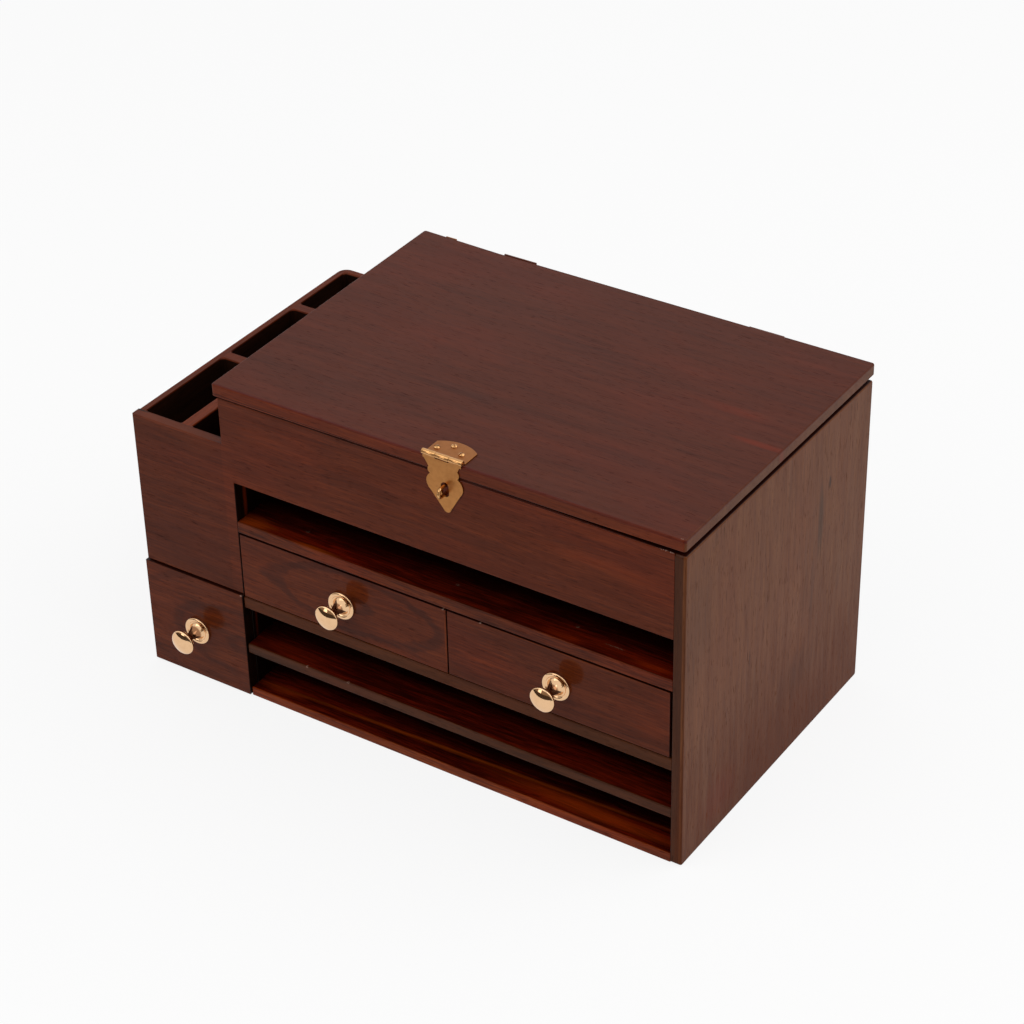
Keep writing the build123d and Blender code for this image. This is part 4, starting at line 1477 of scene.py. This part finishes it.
@dataclass
class Lid:
    """The lift lid's board, which has warped a little: its left end is nose-down, its right end up."""

    left_nose: float = -1.3 * MM
    right_nose: float = 0.5 * MM
    left_heel: float = 1.4 * MM
    lips: tuple[float, ...] = (-0.6 * MM, -0.7 * MM, -0.9 * MM, -0.8 * MM, -0.8 * MM, 0.0)
    heel_true_from: float = BENDS_AT[1]
    true_from: float = BENDS_AT[2]
    true_to: float = BENDS_AT[3]

    def build(self) -> None:
        """Warps and dresses the lid."""
        low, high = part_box("lid_board")
        piece = Workpiece.copy_of("warped_lid_board", "lid_board")
        piece.cut_at(*BENDS_AT[1:-1])
        depth = high[1] - low[1]
        for vert in piece.mesh.verts:
            forward = (high[1] - vert.co.y) / depth
            if vert.co.z < low[2] + 1.0 * MM:
                vert.co.z += read_bend(self.lips, vert.co.x) * forward
            if vert.co.x < self.true_from:
                share = (self.true_from - vert.co.x) / (self.true_from - low[0])
                vert.co.z += self.left_nose * share * forward
            elif vert.co.x > self.true_to:
                share = (vert.co.x - self.true_to) / (high[0] - self.true_to)
                vert.co.z += self.right_nose * share * forward
            if vert.co.x < self.heel_true_from:
                share = (self.heel_true_from - vert.co.x) / (self.heel_true_from - low[0])
                vert.co.z += self.left_heel * share * (1.0 - forward)
        piece.finish(self._wood(low, high).build(), "lid", "lid_board")

    @staticmethod
    def _wood(low: Sequence[float], high: Sequence[float]) -> StainedWood:
        """The lid's finish.

        Args:
            low: The board's lowest corner.
            high: Its highest corner.

        Returns:
            The finish, with the lid's glows, dark bands and worn corner, its front and right end
            painted lighter or darker as they lie to the light, painted shade on its underside, and
            painted shade lines along its front and right arrises.
        """
        top = high[2]
        dark, red = (0.040, 0.0090, 0.0042), (0.150, 0.0170, 0.0030)
        return StainedWood(
            "lid lacquer", Grain.ACROSS_THE_FRONT, 21.0, TOP_TONE,
            faces=(
                # Painted light on the front and the right end; painted shade on the underside.
                Face(1, low[1], FRONT_TONE.scaled(1.2)),
                Face(0, high[0], SIDE_TONE.scaled(0.80)),
                Face(2, low[2], INNER_TONE.scaled(0.6), 0.25 * MM),
            ),
            patches=(
                *on_face(
                    2, top, 0.02,
                    (0.1900, -0.0030, 0.034, 0.0040, red, 0.75, 0.9, 1.2),
                    (0.1600, 0.0230, 0.034, 0.0060, red, 0.40, 0.9, 1.2),
                    (0.1360, -0.0560, 0.060, 0.0080, dark, 0.30, 0.9, 1.0),
                    (0.0200, -0.0420, 0.080, 0.0090, dark, 0.25, 0.9, 1.0),
                    (0.0400, 0.0420, 0.070, 0.0070, dark, 0.25, 0.9, 1.0),
                    (0.1600, 0.0500, 0.050, 0.0060, dark, 0.25, 0.9, 1.0),
                ),
                # Painted shade lines just behind the front and right arrises.
                Patch((0.0400, -0.1136, top - 0.0006), (1.0, 0.0014, 0.0014), (0.070, 0.0040, 0.0010),
                      0.75, 0.5, 0.2),
                Patch((0.2022, 0.0000, top - 0.0004), (0.0012, 1.0, 0.0012), (0.070, 0.0080, 0.0030),
                      0.6, 0.5, 0.2),
                Patch.chip((0.1995, -0.1130, top - 0.0003), (0.0017, 0.0007, 0.0016),
                           (0.34, 0.20, 0.14), 0.7),
            ),
            contrast=0.55, band=(0.140, 0.010, 0.010), blotch=0.35, streaks=0.15,
            lacquer=0.17, lacquer_roughness=0.14, figure=0.8, gloss_grain=0.7,
        )


@dataclass
class HaspSet:
    """The brass hasp on the lid's front edge, its screws, and the staple on the apron."""

    lid_top: float
    brass: Metal = Metal("hasp brass", (0.31, 0.115, 0.032), (0.22, 0.078, 0.020), 0.33, 0.5)
    flat: Metal = Metal("hasp leaf brass", (0.48, 0.21, 0.065), (0.35, 0.145, 0.042), 0.33, 0.5)
    bright: Metal = Metal("rubbed brass", (0.56, 0.30, 0.12), (0.36, 0.17, 0.060), 0.16)
    barrel: Metal = Metal("rolled brass", (0.62, 0.33, 0.13), (0.34, 0.15, 0.050), 0.12, 0.2)
    barrel_axis: Spot = (-0.1141, 0.2385)
    barrel_reach: float = 2.0 * MM
    softening: float = 0.14
    knuckle_easing: float = 0.45
    tab_lift: float = -0.5 * MM
    tab_softening: float = 0.25
    slot: Spot = (0.75, 0.15)
    slot_turns: tuple[float, ...] = (24.0, -38.0, 70.0)

    def build(self) -> None:
        """Builds and dresses the hasp."""
        brass, bright, barrel = self.brass.build(), self.bright.build(), self.barrel.build()
        flat = self.flat.build()
        for node, body, sheet in (("hasp_plate", "lid", brass), ("hasp_leaf", "hasp", flat)):
            piece = Workpiece.copy_of(f"{node}_softened", node)
            piece.soften(self.knuckle_easing, only=self._round_end)
            piece.soften(self.softening)
            for face in piece.mesh.faces:
                face.material_index = int(self._on_barrel(face.calc_center_median()))
            piece.finish(sheet, body, node).data.materials.append(barrel)
        dress("hasp_pin", bright)
        dress("staple", bright)
        self._tab(brass)
        turn_screws(
            "hasp_screws", "hasp_plate_screws", "lid", bright, 2, 28, self.slot, self.slot_turns
        )

    def _on_barrel(self, place: Vector) -> bool:
        """Whether a place lies on the rolled barrel."""
        y, z = self.barrel_axis
        return math.hypot(place.y - y, place.z - z) < self.barrel_reach

    def _round_end(self, edge: bmesh.types.BMEdge) -> bool:
        """Whether an edge is part of the round end of a knuckle, which stands over the lid."""
        first, second = (vert.co for vert in edge.verts)
        return abs(first.x - second.x) < 1e-6 and min(first.z, second.z) > self.lid_top

    def _tab(self, brass: bpy.types.Material) -> None:
        """Moves the small tab on the lid's back edge to where the warped board carries it.

        Args:
            brass: What it is dressed in.
        """
        piece = Workpiece.copy_of("back_tab_softened", "lid_back_tab")
        bmesh.ops.translate(piece.mesh, verts=piece.mesh.verts[:], vec=(0.0, 0.0, self.tab_lift))
        piece.soften(self.tab_softening)
        piece.finish(brass, "lid", "lid_back_tab")


@dataclass(frozen=True)
class ScrewSpots:
    """Where a CAD node's screws stand, and their sizes in millimetres."""

    spots: tuple[Point, ...]
    radius: float
    head: float
    shank: float
    length: float

    @classmethod
    def read(cls, node: str, axis: int) -> "ScrewSpots":
        """Measures the screws of a CAD node.

        Args:
            node: The node, whose loose parts are screws with their heads at the high end.
            axis: The axis that they stand along.

        Returns:
            Each screw's spot under its head, and the sizes that they share.
        """
        mesh = bmesh.new()
        mesh.from_mesh(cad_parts[node].data)
        bmesh.ops.remove_doubles(mesh, verts=mesh.verts[:], dist=SEWN_WITHIN)
        waiting, screws = set(mesh.verts), []
        while waiting:
            queue, island = [waiting.pop()], []
            while queue:
                vert = queue.pop()
                island.append(vert.co.copy())
                for edge in vert.link_edges:
                    other = edge.other_vert(vert)
                    if other in waiting:
                        waiting.discard(other)
                        queue.append(other)
            screws.append(island)
        mesh.free()
        flat = [other for other in range(3) if other != axis]
        spots, radius, head, shank, length = [], 0.0, 0.0, 0.0, 0.0
        for island in sorted(screws, key=lambda points: min(tuple(point) for point in points)):
            middle = [(min(p[i] for p in island) + max(p[i] for p in island)) / 2 for i in range(3)]
            wide = [math.hypot(*(p[i] - middle[i] for i in flat)) for p in island]
            radius = max(wide)
            seat = min(p[axis] for p, w in zip(island, wide) if w > radius * 0.97)
            shank = max(w for p, w in zip(island, wide) if p[axis] < seat - 0.1 * MM)
            head = max(p[axis] for p in island) - seat
            length = seat - min(p[axis] for p in island)
            middle[axis] = seat
            spots.append(tuple(middle))
        return cls(tuple(spots), radius / MM, head / MM, shank / MM, length / MM)

    def outline(self) -> Profile:
        """Draws half of a screw's outline.

        Returns:
            (radius, height) from its point to the crown of its head, in millimetres.
        """
        path = [(0.0, -self.length), (self.shank, -self.length + self.shank), (self.shank, 0.0)]
        path += [(self.radius, 0.0)]
        for step in range(1, 9):
            turn = math.radians(90.0 * step / 8)
            path.append((self.radius * math.cos(turn), self.head * math.sin(turn)))
        path[-1] = (0.0, self.head)
        return path


def turn_screws(
    node: str, name: str, body: str, metal: bpy.types.Material,
    axis: int, steps: int, slot: Spot, turns: Iterable[float],
) -> None:
    """Turns slotted screws over the plain ones of a CAD node.

    Args:
        node: The CAD node.
        name: The new piece's name.
        body: The body that it rides on.
        metal: What it is dressed in.
        axis: The axis that the screws stand along.
        steps: How many faces go round each.
        slot: A slot's width in millimetres, and its floor's height as a share of the head's.
        turns: Which way each slot runs, in degrees from X.
    """
    piece = Workpiece(name)
    screws = ScrewSpots.read(node, axis)
    outward = tuple(float(other == axis) for other in range(3))
    for spot, turned in zip(screws.spots, turns):
        piece.turn(screws.outline(), steps)
        piece.slot_head(slot[0], screws.head * slot[1], turned)
        piece.settle(spot, outward)
    piece.finish(metal, body, node, crease=SLOT_CREASE)


@dataclass
class ButtHinges:
    """The two lid hinges at the back, stained over with the wood."""

    lid_top: float
    showing: dict[str, float] = field(
        default_factory=lambda: {"left": 0.35 * MM, "right": -0.55 * MM}
    )
    stained: Metal = Metal("hinge brass under stain", (0.12, 0.030, 0.014), (0.06, 0.014, 0.008),
                           0.42, metallic=0.35)
    softening: float = 0.15
    slot: Spot = (0.5, 0.45)
    first_slot: float = 35.0
    next_slot: float = 47.0

    def build(self) -> None:
        """Softens, screws and dresses the hinges."""
        stained = self.stained.build()
        for hand in ("left", "right"):
            for part, body in (("hinge_lid_leaf", "lid"), ("hinge_case_leaf", "case")):
                piece = Workpiece.copy_of(f"{hand}_{part}_softened", f"{hand}_{part}")
                for vert in piece.mesh.verts:
                    vert.co.z = min(vert.co.z, self.lid_top + self.showing[hand])
                piece.soften(self.softening)
                piece.finish(stained, body, f"{hand}_{part}")
            dress(f"{hand}_hinge_pin", stained)
        for node, body in (("lid_hinge_screws", "lid"), ("case_hinge_screws", "case")):
            turns = count(self.first_slot, self.next_slot)
            turn_screws(node, f"{node}_slotted", body, stained, 1, 24, self.slot, turns)


# ---------------------------------------------------------------------- studio
@dataclass
class Studio:
    """A white table top under soft light, and the camera."""

    camera_at: Point = (0.83469, -1.22511, 1.09853)
    camera_turn: Point = (56.6355, 1.1466, 33.2209)
    lens: float = 96.917
    ambient: float = 0.55
    lamp_side: float = 2.2
    lamps_aim: Point = (0.0, 0.0, 0.1)
    table_white: Colour = (0.84, 0.84, 0.84)
    table_glow: float = 1.03
    glow_share: float = 0.82
    table_reach: float = 6.0
    table_drop: float = -0.0002

    def build(self) -> None:
        """Sets up floor, world, lamps and camera."""
        self._floor()
        self._world()
        self._lamp("key lamp", (1.5, 0.6, 1.7), 20.0)
        self._lamp("fill lamp", (-0.9, -1.9, 1.7), 17.0)
        self._card("table edge card", (-1.6, 1.2), (0.0, 0.13), -0.50, (0.060, 0.045, 0.036))
        self._card("room card", (-4.0, 3.0), (0.0, 1.30), -1.60, (0.28, 0.22, 0.17))
        self._card("window card", (-0.95, -0.45), (0.22, 0.80), -1.50, (2.2, 2.1, 2.0))
        self._camera()
        bpy.context.scene.view_settings.view_transform = "Standard"

    def _floor(self) -> None:
        """Lays the white table top, which keeps a soft shadow."""
        bench = FinishBench.material("white table")
        plain = bench.add("ShaderNodeBsdfDiffuse", None, {"Color": (*self.table_white, 1.0)})
        glow = bench.glow((1.0, 1.0, 1.0), self.table_glow)
        share = bench.seen_directly() * self.glow_share
        mixed = bench.add(
            "ShaderNodeMixShader", None, {0: share, 1: plain.outputs[0], 2: glow.outputs[0]}
        )
        plane = Workpiece("table_top")
        bmesh.ops.create_grid(plane.mesh, x_segments=1, y_segments=1, size=self.table_reach)
        bmesh.ops.translate(plane.mesh, verts=plane.mesh.verts[:], vec=(0.0, 0.0, self.table_drop))
        plane.mesh_object(bench.finish(mixed))

    @staticmethod
    def _card(
        name: str, wide: Spot, tall: Spot, y: float, glow: Colour
    ) -> None:
        """Stands a card before the object that only polished metal and lacquer mirror.

        Args:
            name: The card's name.
            wide: Its left and right ends, in metres.
            tall: Its foot and its head.
            y: Where it stands.
            glow: Its colour.
        """
        bench = FinishBench.material(name)
        light = bench.glow(glow, 1.0)
        piece = Workpiece(name.replace(" ", "_"))
        corners = [(x, y, z) for x, z in zip((*wide, *wide[::-1]), (tall[0],) * 2 + (tall[1],) * 2)]
        piece.mesh.faces.new([piece.mesh.verts.new(corner) for corner in corners])
        card = piece.mesh_object(bench.finish(light))
        card.visible_camera = card.visible_diffuse = card.visible_shadow = False
        card.visible_transmission = False

    def _world(self) -> None:
        """Surrounds the table with white, at a plain level for lighting."""
        world = bpy.data.worlds.new("white room")
        bpy.context.scene.world = world
        bench = FinishBench(world)
        strength = self.ambient + bench.seen_directly() * (1.0 - self.ambient)
        back = bench.add(
            "ShaderNodeBackground", None, {"Color": (1, 1, 1, 1), "Strength": strength}
        )
        bench.add("ShaderNodeOutputWorld", None, {"Surface": back.outputs[0]})

    def _lamp(self, name: str, at: Point, power: float) -> None:
        """Hangs a soft square lamp that looks at the object.

        Args:
            name: The lamp's name.
            at: Where it hangs, in metres.
            power: Its power in watts.
        """
        light = bpy.data.lights.new(name, "AREA")
        light.shape = "SQUARE"
        light.size = self.lamp_side
        light.energy = power
        lamp = put_in_scene(name, light)
        lamp.location = at
        aim = Vector(self.lamps_aim) - Vector(at)
        lamp.rotation_euler = aim.to_track_quat("-Z", "Y").to_euler()

    def _camera(self) -> None:
        """Places the camera."""
        lens = bpy.data.cameras.new("camera")
        lens.lens = self.lens
        lens.sensor_width = 36.0
        lens.clip_end = 20.0
        camera = put_in_scene("camera", lens)
        camera.location = self.camera_at
        camera.rotation_euler = Euler([math.radians(turn) for turn in self.camera_turn], "XYZ")
        bpy.context.scene.camera = camera


def main() -> None:
    """Builds and dresses the whole desk organizer."""
    logging.basicConfig(level=logging.INFO, format="%(message)s")
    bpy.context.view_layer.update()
    right_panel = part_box("right_side_panel")
    annex_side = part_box("annex_side_panel")
    Case(
        front=right_panel[0][1],
        right=right_panel[1][0],
        top=right_panel[1][2],
        annex_top=annex_side[1][2],
        annex_right=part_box("left_side_panel")[0][0],
    ).build()
    Annex(
        top=annex_side[1][2], left=annex_side[0][0], back=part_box("annex_back_panel")[1][1]
    ).build()
    Lid().build()
    lid_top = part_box("lid_board")[1][2]
    HaspSet(lid_top).build()
    ButtHinges(lid_top).build()
    brass = Metal(
        "knob brass", (0.80, 0.51, 0.29), (0.66, 0.39, 0.20), 0.05, dulling=0.25, relief=0.03,
        # The darker band over the neck and the back of the head is painted shade.
        shade_band=PaintedShadeBand(-0.1300, -0.1185, (0.26, 0.105, 0.045), 0.9),
    ).build()
    steel = Metal("screw steel", (0.52, 0.51, 0.50), (0.36, 0.35, 0.34), 0.32).build()
    box = StainedWood("drawer box wood", Grain.FRONT_TO_BACK, 30.0, RAW_TONE, lacquer=0.0).build()
    for drawer in drawers(box, brass, steel):
        drawer.build()
    Studio().build()


if __name__ == "__main__":
    main()
